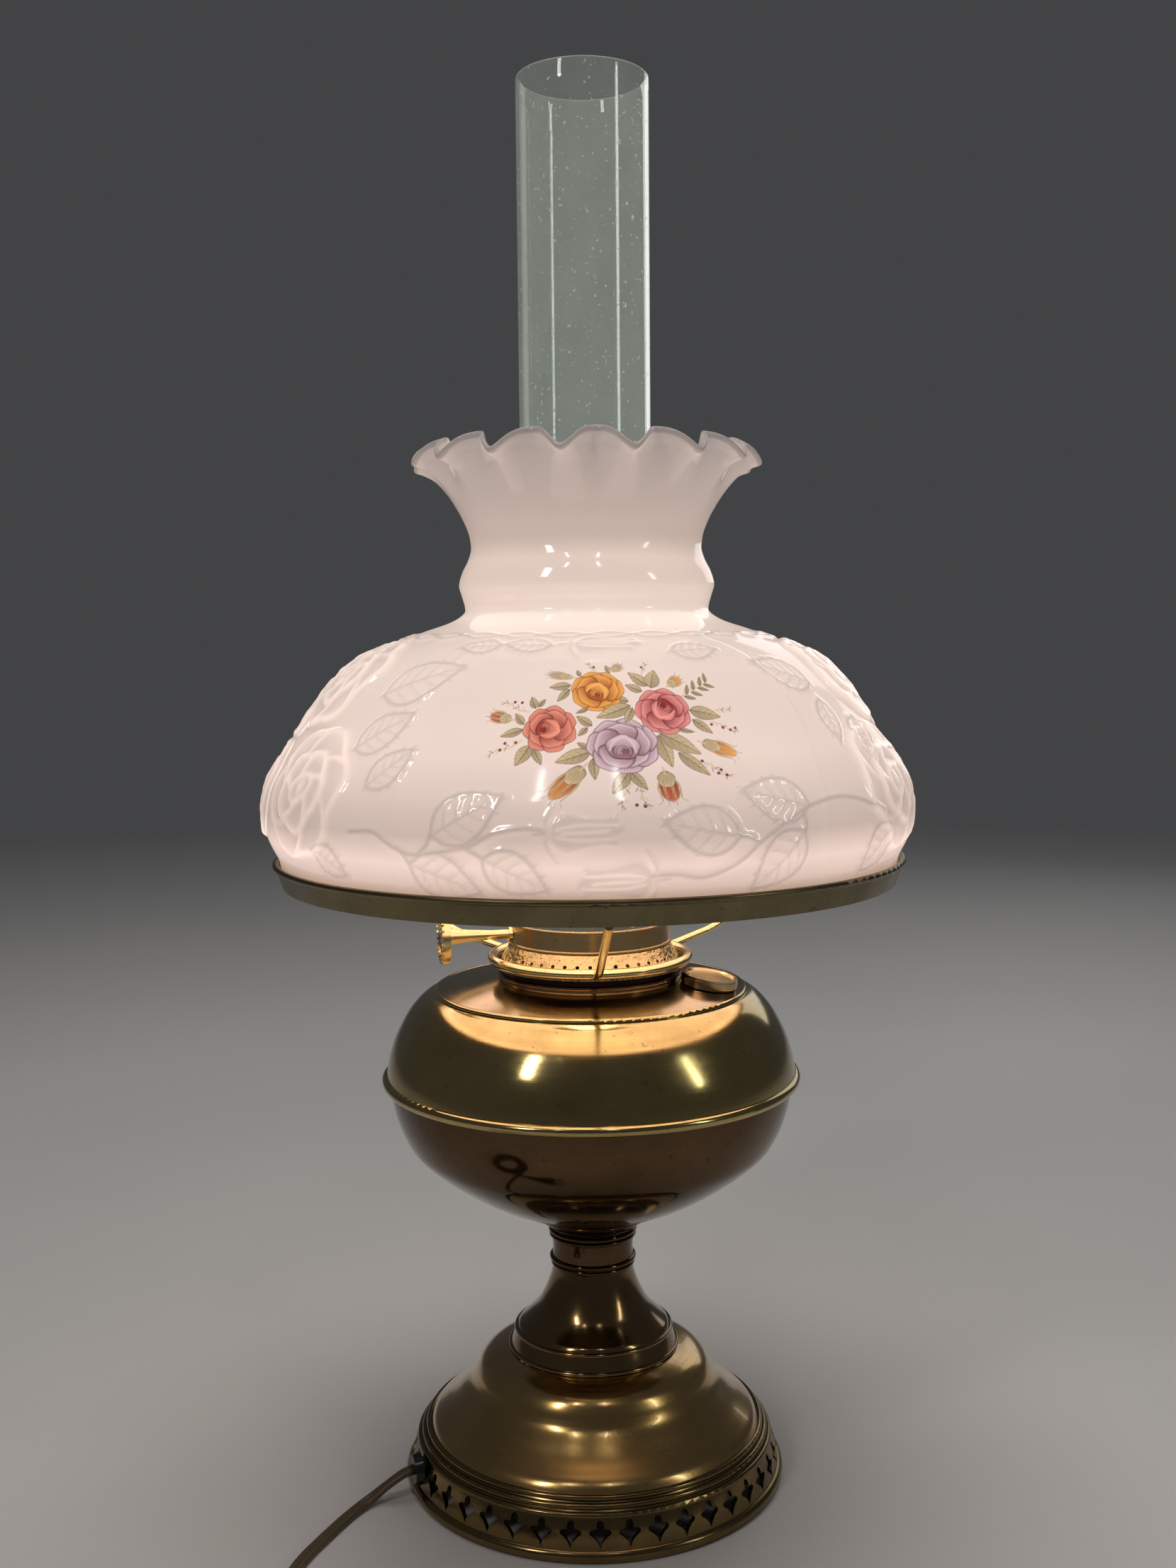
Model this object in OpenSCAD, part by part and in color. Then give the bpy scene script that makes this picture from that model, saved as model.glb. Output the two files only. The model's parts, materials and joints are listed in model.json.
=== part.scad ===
// Electrified central-draught parlour lamp: pierced brass foot, spun brass stem and
// font, burner with a clear chimney, and a crimped milk glass shade on a wire holder.
// Millimetres, +Z up. The lamp's axis is Z and it stands on the plane z = 0.

/* [Foot] */
// Outer radius of the rolled foot rim
foot_r = 81; // [79:0.5:83]
// Diameter of the rolled foot rim
foot_rim_d = 5.2; // [4:0.2:5.4]
// Number of pierced openings round the foot
cutout_count = 42; // [24:2:44]
// Height of the openings' widest line above the table
cutout_z = 11.6; // [11:0.1:12]
// Thickness of the cast foot wall
foot_wall = 1.8; // [1.2:0.1:2.2]

/* [Spun brass] */
// Thickness of the spun brass shells
spun_wall = 1; // [0.7:0.1:1.4]
// Radius of the rolled seam round the middle of the font
seam_r = 88.4; // [87.5:0.1:90]
// Height of the rolled seam
seam_z = 172.6; // [172:0.1:173]
// Diameter of the rolled seam
seam_d = 4.4; // [3.6:0.2:5]
// Radius of the collar that carries the burner
collar_r = 37.6; // [37:0.1:38]

/* [Filler] */
// Distance of the filler from the lamp's axis
filler_r = 51; // [50:0.5:52]
// Direction of the filler, from +X
filler_dir = -16; // [-30:1:-10]
// Diameter of the filler cap
cap_d = 23.5; // [22:0.5:24]
// Height of the filler cap
cap_h = 4.2; // [3.6:0.1:4.6]

/* [Burner] */
// Outer radius of the burner's gallery
gallery_r = 33.5; // [33.3:0.1:33.8]
// Height of the gallery's top edge
gallery_top = 238.8; // [238.6:0.1:239.4]
// Number of air holes round the skirt
air_hole_count = 44; // [24:4:44]
// Diameter of an air hole
air_hole_d = 1.6; // [1.6:0.2:2.8]
// Radius of the air tube through the font
draft_r = 15.6; // [14.5:0.1:15.8]

/* [Winder] */
// Direction of the winder knob, from +X
winder_dir = 192; // [190:1:194]
// Height of the spindle's axis
winder_z = 233.6; // [233.4:0.1:233.6]
// Distance of the knob's middle from the lamp's axis
knob_dist = 62; // [60:0.5:64]
// Diameter of the knob
knob_d = 22.8; // [20:0.2:23]
// Thickness of the knob
knob_t = 3.6; // [3:0.2:4.4]
// Number of ribs on the knob's face
knob_rib_count = 26; // [18:2:30]

/* [Shade holder] */
// Outer radius of the wire ring round the burner
wire_ring_r = 43.2; // [43:0.1:43.4]
// Height of the wire ring
wire_ring_z = 222.9; // [222.8:0.05:223]
// Thickness of the ring's wire
wire_ring_d = 4.2; // [3.8:0.1:4.3]
// Thickness of the arms' wire
arm_d = 3.2; // [2.6:0.1:3.4]
// Direction of the first arm, from +X
arm_dir = -87; // [-90:1:-85]
// Outer radius of the shade ring at its top bead
shade_ring_r = 131; // [130.8:0.1:131.4]

/* [Shade] */
// Thickness of the shade's glass
shade_wall = 3; // [2.4:0.1:3.2]
// Number of crimps round the shade's crown
crimp_count = 16; // [12:1:18]
// Direction of the first crest of the crown, from +X
crimp_dir = -86.2; // [-100:0.1:-80]

/* [Chimney] */
// Radius of the chimney's straight tube
chimney_r = 27; // [26:0.1:27.4]
// Radius of the chimney's base
chimney_base_r = 32.3; // [31.8:0.1:32.4]
// Height of the chimney's rim above the table
chimney_top = 582; // [540:1:600]
// Thickness of the chimney's glass
chimney_wall = 1.5; // [1.2:0.1:2]

/* [Electric fittings] */
// Radius of the threaded pipe on the lamp's axis
pipe_r = 5.1; // [4.9:0.05:5.2]
// Radius of the bulb's glass
bulb_r = 16; // [13:0.5:17]
// Height of the bulb's tip above the table
bulb_top = 402; // [380:1:410]
// Direction of the cord bushing, from +X
bushing_dir = 201; // [198:1:204]
// Radius of the cord bushing's head
bushing_r = 6.8; // [6:0.1:7]

/* [Cord] */
// Width of the flat twin cord
cord_w = 5.3; // [5:0.1:5.6]
// Thickness of the flat twin cord
cord_t = 2.7; // [2.4:0.1:2.8]
// Mean radius of the coil's outer turn
coil_outer_r = 38.2; // [37:0.2:40]
// Layers of cord in the coil
coil_layers = 3; // [2:1:3]

/* [Hidden] */

$fn = 72;
// Gap left all round a turning or sliding fit
running_gap = 0.05;

polished_brass = "#9a7a35";
wire_brass = "#d0aa58";
antique_brass = "#5d5433";
steel_grey = "#a8a9ab";
milk_glass = "#e8d7cf";
phenolic_brown = "#2b1d16";
cord_gold = "#6d5a3c";

// Foot and ridges
foot_rim_r = foot_r - foot_rim_d / 2;
gallery_foot_r = 79.2;
// Share of one opening by which the row is turned from the front
cutout_phase = 0.16;
gallery_head_r = 76;
gallery_head_z = 16.6;
ridges = [[74.9, 16.9], [73, 19.5], [71.1, 22]];
ridge_d = 2.6;

// Stem
stem_joint_z = 89;
sleeve_top_z = 112.8;
trumpet_foot_z = 54.2;

// Font
deck_slope = 9;
deck_edge = [64.6, 210.4];
deck_inner = [38.2, 214.6];
font_floor_z = 112.8;
filler_z = deck_edge[1] + (deck_edge[0] - filler_r) * tan(deck_slope);
filler_neck_r = 8.2;
filler_neck_h = 1.2;
gasket_r = 9.6;
gasket_t = 1;

// Burner
collar_foot_z = 217;
collar_top_z = 221;
skirt_top_z = 229;
seat_z = 236.4;
seat_t = 0.9;
gallery_wall = 0.8;
bush_r = 2.7;
spindle_r = 1.95;
spindle_knob_r = 3.6;
spindle_stub_r = 1.6;
switch_r = 14.6;

// Shade holder
ring_base_z = 257;
ring_base_r = 127.2;
ring_bead_z = 265.8;
ring_ledge_z = 259.4;

// Shade
shade_foot_z = ring_ledge_z;
waist_z = 396;
crown_steps = 96;

// Electric fittings
pipe_foot_z = 50;
pipe_top_z = 230;
pipe_bore_r = 3.6;
washer_z = 58.6;
washer_t = 1.2;
base_washer_r = 32.7;
nut_t = 4;
nut_flats = 13.6;
socket_z = 226.6;
shell_r = 16.3;
shell_top_z = 268;
bulb_seat_z = 252;
bulb_neck_z = 276;
bushing_z = 12.2;
bushing_face_r = 81.2;
bushing_body_r = 4.6;
bushing_flange_r = 5.4;

// Cord: route of the lead on the table, from the bushing to the coil
LEAD = [
  [-75.8, -29.1, 12.2], [-79.6, -30.5, 11.2], [-84, -31.6, 8.6], [-88, -32.4, 5.8], [-91.6, -34, 3.4],
  [-95.4, -37.4, 1.9], [-99, -43, 1.45], [-102.5, -50, 1.4], [-106, -58, 1.4],
  [-109.4, -66, 1.4], [-112.6, -74, 1.4], [-115, -82, 1.4], [-116.6, -91, 1.4],
  [-117.2, -100, 1.4], [-117.2, -112, 1.4], [-117, -124, 1.6], [-116.9, -133, 1.9]];
// Route of the tail over the coil to the plug
TAIL = [
  [-146, -118.6, 10.9], [-138, -118.9, 11.3], [-130, -119.8, 11.2], [-122, -121.2, 9.8],
  [-114, -123, 7.8], [-106, -125, 6.4], [-99, -126.8, 6]];
// Route of the lead inside the base and up the pipe
INNER = [
  [-75.8, -29.1, 12.2], [-64, -24.6, 11.8], [-54, -20.7, 10.4], [-43, -16.5, 9.8], [-32, -12.3, 11.2],
  [-22, -8.4, 15.4], [-13, -5, 22], [-6.4, -2.5, 31], [-2, -0.8, 41], [0, 0, 52],
  [0, 0, 70], [0, 0, 120], [0, 0, 170], [0, 0, 229]];
coil_centre = [-155, -147];
coil_pitch = 5.4;
coil_layer_t = 3;
coil_base_z = 0.7;
coil_inner_r = coil_outer_r - 3 * coil_pitch;
coil_top_z = coil_base_z + (coil_layers - 1) * coil_layer_t + cord_t + 0.1;
tie_w = 6;
tie_t = 0.6;
plug_at = [-99, -126.8, 6];
plug_turn = -14.4;
relief_len = 20;
plug_len = 24;
plug_w = 20;
plug_h = 11.6;
blade_gap = 12.7;
blade_len = 16;

// ---- Curves and turned shapes ----

// Point on a smooth curve between p1 and p2, with its neighbours p0 and p3
function between(p0, p1, p2, p3, t) = 0.5 * (2 * p1 + (p2 - p0) * t
  + (2 * p0 - 5 * p1 + 4 * p2 - p3) * t * t + (3 * p1 - p0 - 3 * p2 + p3) * t * t * t);

// Smooth curve through the points p, with n steps between neighbours
function curve(p, n = 4) = [
  for (i = [0 : len(p) - 2], k = [0 : n - 1])
    between(p[max(i - 1, 0)], p[i], p[i + 1], p[min(i + 2, len(p) - 1)], k / n),
  p[len(p) - 1]];

function unit(v) = v / norm(v);
function along(p, i) = unit(p[min(i + 1, len(p) - 1)] - p[max(i - 1, 0)]);

// The outline p moved by t to the left of its direction
function inset(p, t) = [for (i = [0 : len(p) - 1]) let (d = along(p, i)) p[i] + t * [-d[1], d[0]]];
function backwards(p) = [for (i = [len(p) - 1 : -1 : 0]) p[i]];
function mix(a, b, t) = a + (b - a) * t;

// A spun sheet whose outside follows the upward profile p
module spun(p, t = spun_wall) {
  rotate_extrude() polygon(concat(p, backwards(inset(p, t))));
}

// A round ridge whose outermost radius is r
module ridge(r, z, d) {
  rotate_extrude() translate([r - d / 2, z]) circle(d = d, $fn = 32);
}

module tube(r_out, r_in, z0, z1) {
  translate([0, 0, z0]) difference() {
    cylinder(r = r_out, h = z1 - z0);
    translate([0, 0, -1]) cylinder(r = r_in, h = z1 - z0 + 2);
  }
}

// Turns a child built along +X at height 0 to the direction a and the height z
module facing(a, z) {
  translate([0, 0, z]) rotate([0, 0, a]) children();
}

// A bar along +X from x0 to x1
module bar_x(r0, r1, x0, x1) {
  translate([x0, 0, 0]) rotate([0, 90, 0]) cylinder(r1 = r0, r2 = r1, h = x1 - x0, $fn = 48);
}

// Faces of a skin over rings of m points, closed at both ends
function skin_faces(rings, m) = concat(
  [[for (j = [m - 1 : -1 : 0]) j]],
  [for (i = [0 : rings - 2], j = [0 : m - 1]) let (a = i * m + j, b = i * m + (j + 1) % m)
    each [[a, b, b + m], [a, b + m, a + m]]],
  [[for (j = [0 : m - 1]) (rings - 1) * m + j]]);

// The flat twin cord swept along a route, with its wide side level or along a fixed side
module cord(route, steps = 2, level = true, side = [0, 0, 0]) {
  p = curve(route, steps);
  m = 8;
  points = [for (i = [0 : len(p) - 1], j = [0 : m - 1]) let (
      d = along(p, i),
      s = level ? unit([-d[1], d[0], 0]) : side,
      u = cross(d, s),
      a = j * 360 / m + 22.5)
    p[i] + s * cos(a) * cord_w / 2 + u * sin(a) * cord_t / 2];
  polyhedron(points = points, faces = skin_faces(len(p), m));
}

// ---- Base ----

// One pierced opening: a finger, two side lobes and a pointed tail with hollow flanks
module cutout_outline() {
  half = [[1.4, 2.7], [1.5, 1.1], [3.5, 0.9], [4.4, 0.2], [4.1, -0.8], [2.6, -1.8], [1.2, -3.2], [0.4, -4.6]];
  translate([0, 2.7]) circle(r = 1.4, $fn = 24);
  polygon(concat(half, [[0, -6]], [for (p = backwards(half)) [-p[0], p[1]]]));
}

module foot_gallery() {
  color(polished_brass) difference() {
    union() {
      ridge(foot_r, foot_rim_d / 2, foot_rim_d);
      tube(foot_rim_r + 1.4, foot_rim_r - 1.6, 0, 2);
      spun([[gallery_foot_r, 3], [78.6, 8], [77.4, 12.6], [gallery_head_r, gallery_head_z],
        [73.9, 18.6], [71.6, 21.4], [70.6, 22.6]], foot_wall);
      for (q = ridges) ridge(q[0] + ridge_d / 2, q[1], ridge_d);
    }
    for (i = [0 : cutout_count - 1])
      facing(-90 + (i + cutout_phase) * 360 / cutout_count, cutout_z)
        translate([70, 0, 0]) rotate([90, 0, 90]) linear_extrude(14) cutout_outline();
    facing(bushing_dir, bushing_z) bar_x(bushing_body_r, bushing_body_r, 70, 90);
  }
}

module base_bell() {
  bell = curve([[70.4, 22.7], [68.6, 25.6], [65.2, 28.5], [61, 32], [57, 35.8], [53.2, 39.6],
    [51.4, 42.6], [50, 45.6], [47.8, 48.9], [44.4, 51.6], [40.4, 53.2], [36.4, trumpet_foot_z]]);
  color(polished_brass) spun(bell);
}

module stem_trumpet() {
  color(polished_brass) {
    ridge(36.6, trumpet_foot_z + 0.9, 1.8);
    ridge(34, 62, 2);
    spun(concat([[36, trumpet_foot_z + 0.2], [34.6, 58], [33, 61.6]],
      curve([[32, 64], [27.6, 68], [24, 72], [21.4, 76.5], [19.4, 81], [17.9, 85.4], [17, stem_joint_z]])));
  }
}

module stem_sleeve() {
  color(polished_brass) {
    ridge(17.9, 90.4, 2);
    ridge(18.5, 92.8, 2.2);
    ridge(18.6, 102.9, 1.8);
    ridge(18.9, 105, 2);
    spun(concat([[17, stem_joint_z], [17.4, 92.8]],
      curve([[17.3, 94], [17.1, 97.5], [17.5, 102]]),
      curve([[17.9, 105.4], [20.6, 108.6], [24.2, 111], [25.4, sleeve_top_z]])));
  }
}

// ---- Font ----

module font_bowl() {
  bowl = concat([[draft_r, font_floor_z], [24.6, font_floor_z]],
    curve([[26, 114.4], [30.6, 115.9], [36.4, 117.5], [39, 118.6], [40, 119.5]], 2),
    curve([[45, 121.4], [54.6, 127], [64.2, 133.6], [71.6, 139.6], [77.1, 145.6],
      [81.4, 154.6], [83.9, 163.6], [84.9, seam_z - 1.2]]));
  color(polished_brass) spun(bowl);
}

module font_dome() {
  color(polished_brass) {
    ridge(seam_r, seam_z, seam_d);
    ridge(66, 209.4, 2.4);
    spun(curve([[86.6, seam_z], [85.6, 179.6], [83.9, 186], [81.4, 192.2], [77.4, 199.4],
      [73, 204.8], [68.8, 208], [deck_edge[0], 209.2]]));
  }
}

module font_deck() {
  color(polished_brass) difference() {
    union() {
      spun([[deck_edge[0], 209.3], deck_edge, deck_inner, [collar_r + 0.6, collar_foot_z - 2],
        [collar_r + 0.6, collar_foot_z]]);
      ridge(39, collar_foot_z - 0.6, 1.6);
    }
    at_filler() cylinder(r = filler_neck_r - 1, h = 12, center = true);
  }
}

module draft_tube() {
  color(polished_brass) tube(draft_r, draft_r - 0.8, font_floor_z, collar_top_z + 1);
}

// Places a child on the deck where the filler is, square to the deck
module at_filler() {
  rotate([0, 0, filler_dir]) translate([filler_r, 0, filler_z]) rotate([0, deck_slope, 0]) children();
}

module filler_neck() {
  color(polished_brass) at_filler() difference() {
    union() {
      cylinder(r = filler_neck_r, h = filler_neck_h);
      translate([0, 0, -3]) cylinder(r = filler_neck_r - 1.02, h = 3);
    }
    translate([0, 0, -4]) cylinder(r = filler_neck_r - 1.8, h = 8);
  }
}

module filler_gasket() {
  color("#8a6a48") at_filler() translate([0, 0, filler_neck_h]) cylinder(r = gasket_r, h = gasket_t);
}

module filler_cap() {
  color(polished_brass) at_filler() difference() {
    translate([0, 0, 0.3]) union() {
      cylinder(d = cap_d - 0.6, h = cap_h);
      translate([0, 0, 0.9]) cylinder(d = cap_d, h = cap_h - 1.8);
    }
    translate([0, 0, -1]) cylinder(r = gasket_r + 0.4, h = 1 + filler_neck_h + gasket_t + running_gap);
    translate([0, 0, cap_h - 0.5]) cylinder(d1 = cap_d - 4.2, d2 = cap_d - 2.6, h = 1);
  }
}

// ---- Burner ----

module burner_collar() {
  color("#3c2a1c") tube(collar_r, collar_r - 2, collar_foot_z, collar_top_z - 0.9);
}

module burner_skirt() {
  color(polished_brass) difference() {
    union() {
      tube(40.9, draft_r, collar_top_z - 0.9, collar_top_z - 0.3);
      spun([[38.4, 220.4], [38, 222], [35.6, 226], [34, skirt_top_z]], 0.8);
    }
    for (i = [0 : air_hole_count - 1])
      facing(i * 360 / air_hole_count, 224.8) translate([36.5, 0, 0]) rotate([0, -28, 0])
        bar_x(air_hole_d / 2, air_hole_d / 2, -4, 4);
  }
}

module chimney_gallery() {
  color(polished_brass) difference() {
    union() {
      tube(gallery_r, gallery_r - gallery_wall, skirt_top_z, gallery_top - 0.5);
      ridge(gallery_r + 0.5, gallery_top - 0.6, 1.2);
      ridge(gallery_r + 0.6, skirt_top_z + 0.8, 1.4);
      tube(gallery_r - 0.4, 25.4, seat_z, seat_z + seat_t);
    }
    facing(winder_dir, winder_z) bar_x(bush_r, bush_r, 30, 36);
  }
}

module pipe_cover() {
  color(polished_brass) {
    tube(18.4, pipe_r, collar_top_z + 1, collar_top_z + 2);
    tube(draft_r - 0.9, pipe_r, collar_top_z - 1, collar_top_z + 1);
  }
}

// ---- Winder ----

module spindle_bush() {
  color(wire_brass) facing(winder_dir, winder_z) difference() {
    union() {
      bar_x(bush_r, bush_r, gallery_r - 1.6, gallery_r + 1);
      bar_x(bush_r + 0.9, bush_r + 0.5, gallery_r, gallery_r + 1.4);
    }
    bar_x(spindle_r + running_gap, spindle_r + running_gap, 30, 38);
  }
}

module winder_spindle() {
  knob_face = knob_dist - knob_t / 2;
  color(wire_brass) facing(winder_dir, winder_z) union() {
    bar_x(spindle_r, spindle_r, 4, 42);
    bar_x(spindle_r, 2.6, 42, 52);
    bar_x(2.6, spindle_knob_r, 52, knob_face);
    bar_x(spindle_stub_r, spindle_stub_r, knob_face, knob_face + knob_t - 1.2);
  }
}

module winder_knob() {
  r = knob_d / 2;
  rib_step = 360 / knob_rib_count;
  color(wire_brass) facing(winder_dir, winder_z) translate([knob_dist - knob_t / 2, 0, 0])
    rotate([0, 90, 0]) difference() {
      union() {
        cylinder(r = r - 0.5, h = knob_t);
        translate([0, 0, 0.5]) cylinder(r = r, h = knob_t - 1);
      }
      translate([0, 0, -1]) cylinder(r = spindle_stub_r, h = knob_t - 0.2);
      translate([0, 0, knob_t - 0.9]) cylinder(r1 = r - 3.6, r2 = r - 2.6, h = 1);
      for (i = [0 : knob_rib_count - 1]) rotate([0, 0, i * rib_step])
        translate([r - 1.2, 0, knob_t]) cube([4, 1, 1.6], center = true);
    }
}

// ---- Shade holder ----

module holder_wire_ring() {
  color(wire_brass) ridge(wire_ring_r, wire_ring_z, wire_ring_d);
}

module holder_arms() {
  ring_mid = wire_ring_r - wire_ring_d / 2;
  route = curve([[ring_mid + 1.2, wire_ring_z], [56, 226], [64, 228], [72, 231.4], [100, 244.8],
    [125.4, ring_base_z]]);
  color(wire_brass) for (i = [0 : 2]) rotate([0, 0, arm_dir + i * 120]) wire(route, arm_d);
}

// A round wire swept along a route of points (r, z) over the +X axis
module wire(route, d) {
  m = 16;
  points = [for (i = [0 : len(route) - 1], j = [0 : m - 1]) let (
      t = along(route, i),
      a = j * 360 / m,
      p = route[i] + [-t[1], t[0]] * sin(a) * d / 2)
    [p[0], -cos(a) * d / 2, p[1]]];
  polyhedron(points = points, faces = skin_faces(len(route), m));
}

module shade_ring() {
  lip = shade_ring_r - 2.4;
  color(antique_brass) {
    ridge(shade_ring_r, ring_bead_z, 2.6);
    rotate_extrude() polygon([[121, ring_ledge_z - 1.2], [124.6, ring_ledge_z - 1.2], [125.8, ring_base_z],
      [ring_base_r, ring_base_z], [shade_ring_r - 1, ring_bead_z], [lip, ring_bead_z],
      [ring_base_r - 0.2, ring_ledge_z], [121, ring_ledge_z]]);
  }
}

// ---- Shade ----

module shade() {
  foot = [[125.8, shade_foot_z], [127.3, 264], [128.1, 267.4]];
  body = [[129.8, 269.6], [132.4, 274], [134.8, 279.4], [136, 286], [135.6, 293], [133.9, 300],
    [129.8, 308], [125.2, 316], [120, 324], [114.8, 332], [109.6, 339.4], [103, 347],
    [94, 352.4], [82, 356.6], [68, 360.4], [54.4, 364.2]];
  neck = [[51, 367], [50.6, 370], [51.8, 374.4], [52.8, 378.6], [51.4, 383.8], [49, 388.6],
    [47.7, 392.8], [47.8, waist_z]];
  outside = concat(foot, curve(concat(body, neck), 2));
  color(milk_glass) {
    rotate_extrude() polygon(concat(outside, backwards(inset(outside, shade_wall)), [[122.8, shade_foot_z]]));
    crown();
  }
}

// The crimped crown: dips lean out and low, crests stand up and in
module crown() {
  dip = [[47.7, waist_z - 2], [48.6, 400], [51.2, 406], [54.8, 411.6], [59.2, 417.2], [63.4, 421.6],
    [68, 424.6], [72.4, 426]];
  crest = [[47.7, waist_z - 2], [48.6, 400], [51, 406], [53.9, 411.8], [56.9, 417.8], [59.6, 423.8],
    [61.8, 430], [63.2, 436]];
  wall = shade_wall - 0.2;
  outer_dip = inset(dip, 0.1);
  outer_crest = inset(crest, 0.1);
  inner_dip = backwards(inset(dip, wall));
  inner_crest = backwards(inset(crest, wall));
  dips = concat(outer_dip, inner_dip);
  crests = concat(outer_crest, inner_crest);
  m = len(dips);
  n = crown_steps;
  points = [for (i = [0 : n - 1]) let (a = i * 360 / n, w = (1 + cos(crimp_count * (a - crimp_dir))) / 2)
    for (j = [0 : m - 1]) let (p = mix(dips[j], crests[j], w)) [p[0] * cos(a), p[0] * sin(a), p[1]]];
  polyhedron(points = points, faces = [for (i = [0 : n - 1], j = [0 : m - 1]) let (
      a = i * m + j, b = i * m + (j + 1) % m, c = ((i + 1) % n) * m + (j + 1) % m, d = ((i + 1) % n) * m + j)
    each [[a, b, c], [a, c, d]]]);
}

// ---- Chimney ----

module chimney() {
  base_z = seat_z + seat_t;
  glass = concat([[chimney_base_r, base_z], [chimney_base_r, base_z + 9]],
    curve([[chimney_base_r - 0.4, base_z + 12], [chimney_base_r - 2.6, base_z + 17],
      [chimney_r + 0.8, base_z + 23], [chimney_r, base_z + 30]]),
    [[chimney_r, chimney_top]]);
  color([0.8, 0.86, 0.82, 0.35]) spun(glass, chimney_wall);
}

// ---- Pipe and socket ----

module lamp_pipe() {
  color(steel_grey) tube(pipe_r, pipe_bore_r, pipe_foot_z, pipe_top_z);
}

// A hexagon nut round the pipe, with its foot at z
module nut(z) {
  translate([0, 0, z]) difference() {
    cylinder(d = nut_flats / cos(30), h = nut_t, $fn = 6);
    translate([0, 0, -1]) cylinder(r = pipe_r, h = nut_t + 2);
  }
}

module pipe_nuts() {
  color(steel_grey) {
    nut(washer_z - nut_t - 1);
    nut(collar_top_z - 1 - nut_t);
  }
}

module base_washer() {
  color(steel_grey) tube(base_washer_r, pipe_r, washer_z, washer_z + washer_t);
}

module lock_washer() {
  color(steel_grey) tube(9.4, pipe_r, washer_z - 1, washer_z);
}

module socket_cap() {
  color(polished_brass) {
    tube(11, pipe_r, socket_z - 3.6, socket_z);
    tube(shell_r - 0.7, pipe_r, socket_z, socket_z + 1);
    tube(shell_r - 0.7, shell_r - 1.3, socket_z + 1, socket_z + 4);
  }
}

module socket_body() {
  color(phenolic_brown) difference() {
    translate([0, 0, socket_z + 1.1]) cylinder(r = switch_r, h = bulb_seat_z - 2 - socket_z - 1.1);
    translate([0, 0, socket_z]) cylinder(r = pipe_r + 0.4, h = pipe_top_z - socket_z + 0.6);
    facing(winder_dir, winder_z) bar_x(spindle_r + running_gap, spindle_r + running_gap, 3, 20);
  }
}

module socket_shell() {
  color(polished_brass) difference() {
    tube(shell_r, shell_r - 0.5, socket_z + 1.4, shell_top_z);
    facing(winder_dir, winder_z) bar_x(2.6, 2.6, 10, 20);
  }
}

module socket_liner() {
  color("#c9b48a") difference() {
    tube(shell_r - 0.6, shell_r - 1.2, socket_z + 4.2, shell_top_z - 1);
    facing(winder_dir, winder_z) bar_x(2.6, 2.6, 10, 20);
  }
}

module screw_shell() {
  color(wire_brass) tube(14.4, 13.8, bulb_seat_z - 2, bulb_seat_z + 15);
}

module centre_contact() {
  color(wire_brass) translate([0, 0, bulb_seat_z - 2]) {
    cylinder(r = 3.6, h = 0.6);
    translate([-1.6, -1.6, 0.6]) cube([3.2, 3.2, 0.9]);
  }
}

// ---- Bulb ----

module bulb_cap() {
  bore_r = 11.8;
  root_r = 12.5;
  crest_r = 13.2;
  thread_pitch = 3.6;
  thread_z = bulb_seat_z + 3;
  threads = [for (i = [0 : 4], q = [[root_r, 0], [crest_r, 0.8], [crest_r, 1.9], [root_r, 2.7]])
    [q[0], thread_z + i * thread_pitch + q[1]]];
  color("#c8c2b0") rotate_extrude() polygon(concat(
    [[bore_r, bulb_seat_z + 2], [root_r, bulb_seat_z + 2]], threads, [[root_r, bulb_neck_z], [bore_r, bulb_neck_z]]));
}

module bulb_insulator() {
  color("#151515") translate([0, 0, bulb_seat_z + 0.6]) difference() {
    cylinder(r1 = 6, r2 = 11.7, h = 2.4);
    translate([0, 0, -1]) cylinder(r = 3, h = 6);
  }
}

module bulb_contact() {
  color("#c8c8c8") translate([0, 0, bulb_seat_z - 0.4]) cylinder(r = 2.9, h = 3);
}

module bulb_glass() {
  shoulder = bulb_top - 16;
  color([1, 0.96, 0.88, 0.5]) spun(concat(
    curve([[11.7, bulb_neck_z - 4], [11.7, bulb_neck_z], [12.6, bulb_neck_z + 6], [15.4, bulb_neck_z + 14],
      [bulb_r, bulb_neck_z + 20]]),
    [for (a = [0 : 9 : 81]) [bulb_r * cos(a), shoulder + 16 * sin(a)]],
    [[1, bulb_top]]), 0.8);
  color([1, 0.96, 0.88, 0.5]) translate([0, 0, bulb_top - 0.9]) cylinder(r = 2.4, h = 0.9);
}

module bulb_filament() {
  leg = 7;
  color("#d8d0c0") {
    translate([0, 0, bulb_neck_z - 2]) cylinder(r1 = 5, r2 = 3, h = 14);
    for (s = [-1, 1]) {
      translate([s * 2, 0, bulb_neck_z + 12]) rotate([0, s * 4, 0]) cylinder(d = 0.8, h = 70, $fn = 16);
      translate([s * leg, 0, bulb_neck_z + 82]) rotate([0, -s * 90, 0]) cylinder(d = 1.6, h = leg, $fn = 16);
    }
  }
}

// ---- Cord set ----

module cord_bushing() {
  color("#121212") facing(bushing_dir, bushing_z) difference() {
    union() {
      bar_x(bushing_body_r, bushing_body_r, 71, 78);
      bar_x(bushing_r, bushing_r - 1, 77.9, bushing_face_r);
      bar_x(bushing_flange_r, bushing_flange_r, 70.6, 72.4);
    }
    translate([76, 0, 0]) cube([14, cord_w + 0.1, cord_t + 0.1], center = true);
  }
}

module inner_lead() {
  across = [sin(bushing_dir), -cos(bushing_dir), 0];
  color(cord_gold) cord(INNER, 2, false, across);
}

module cord_lead() {
  color(cord_gold) cord(LEAD);
}

module cord_tail() {
  color(cord_gold) cord(TAIL);
}

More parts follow.
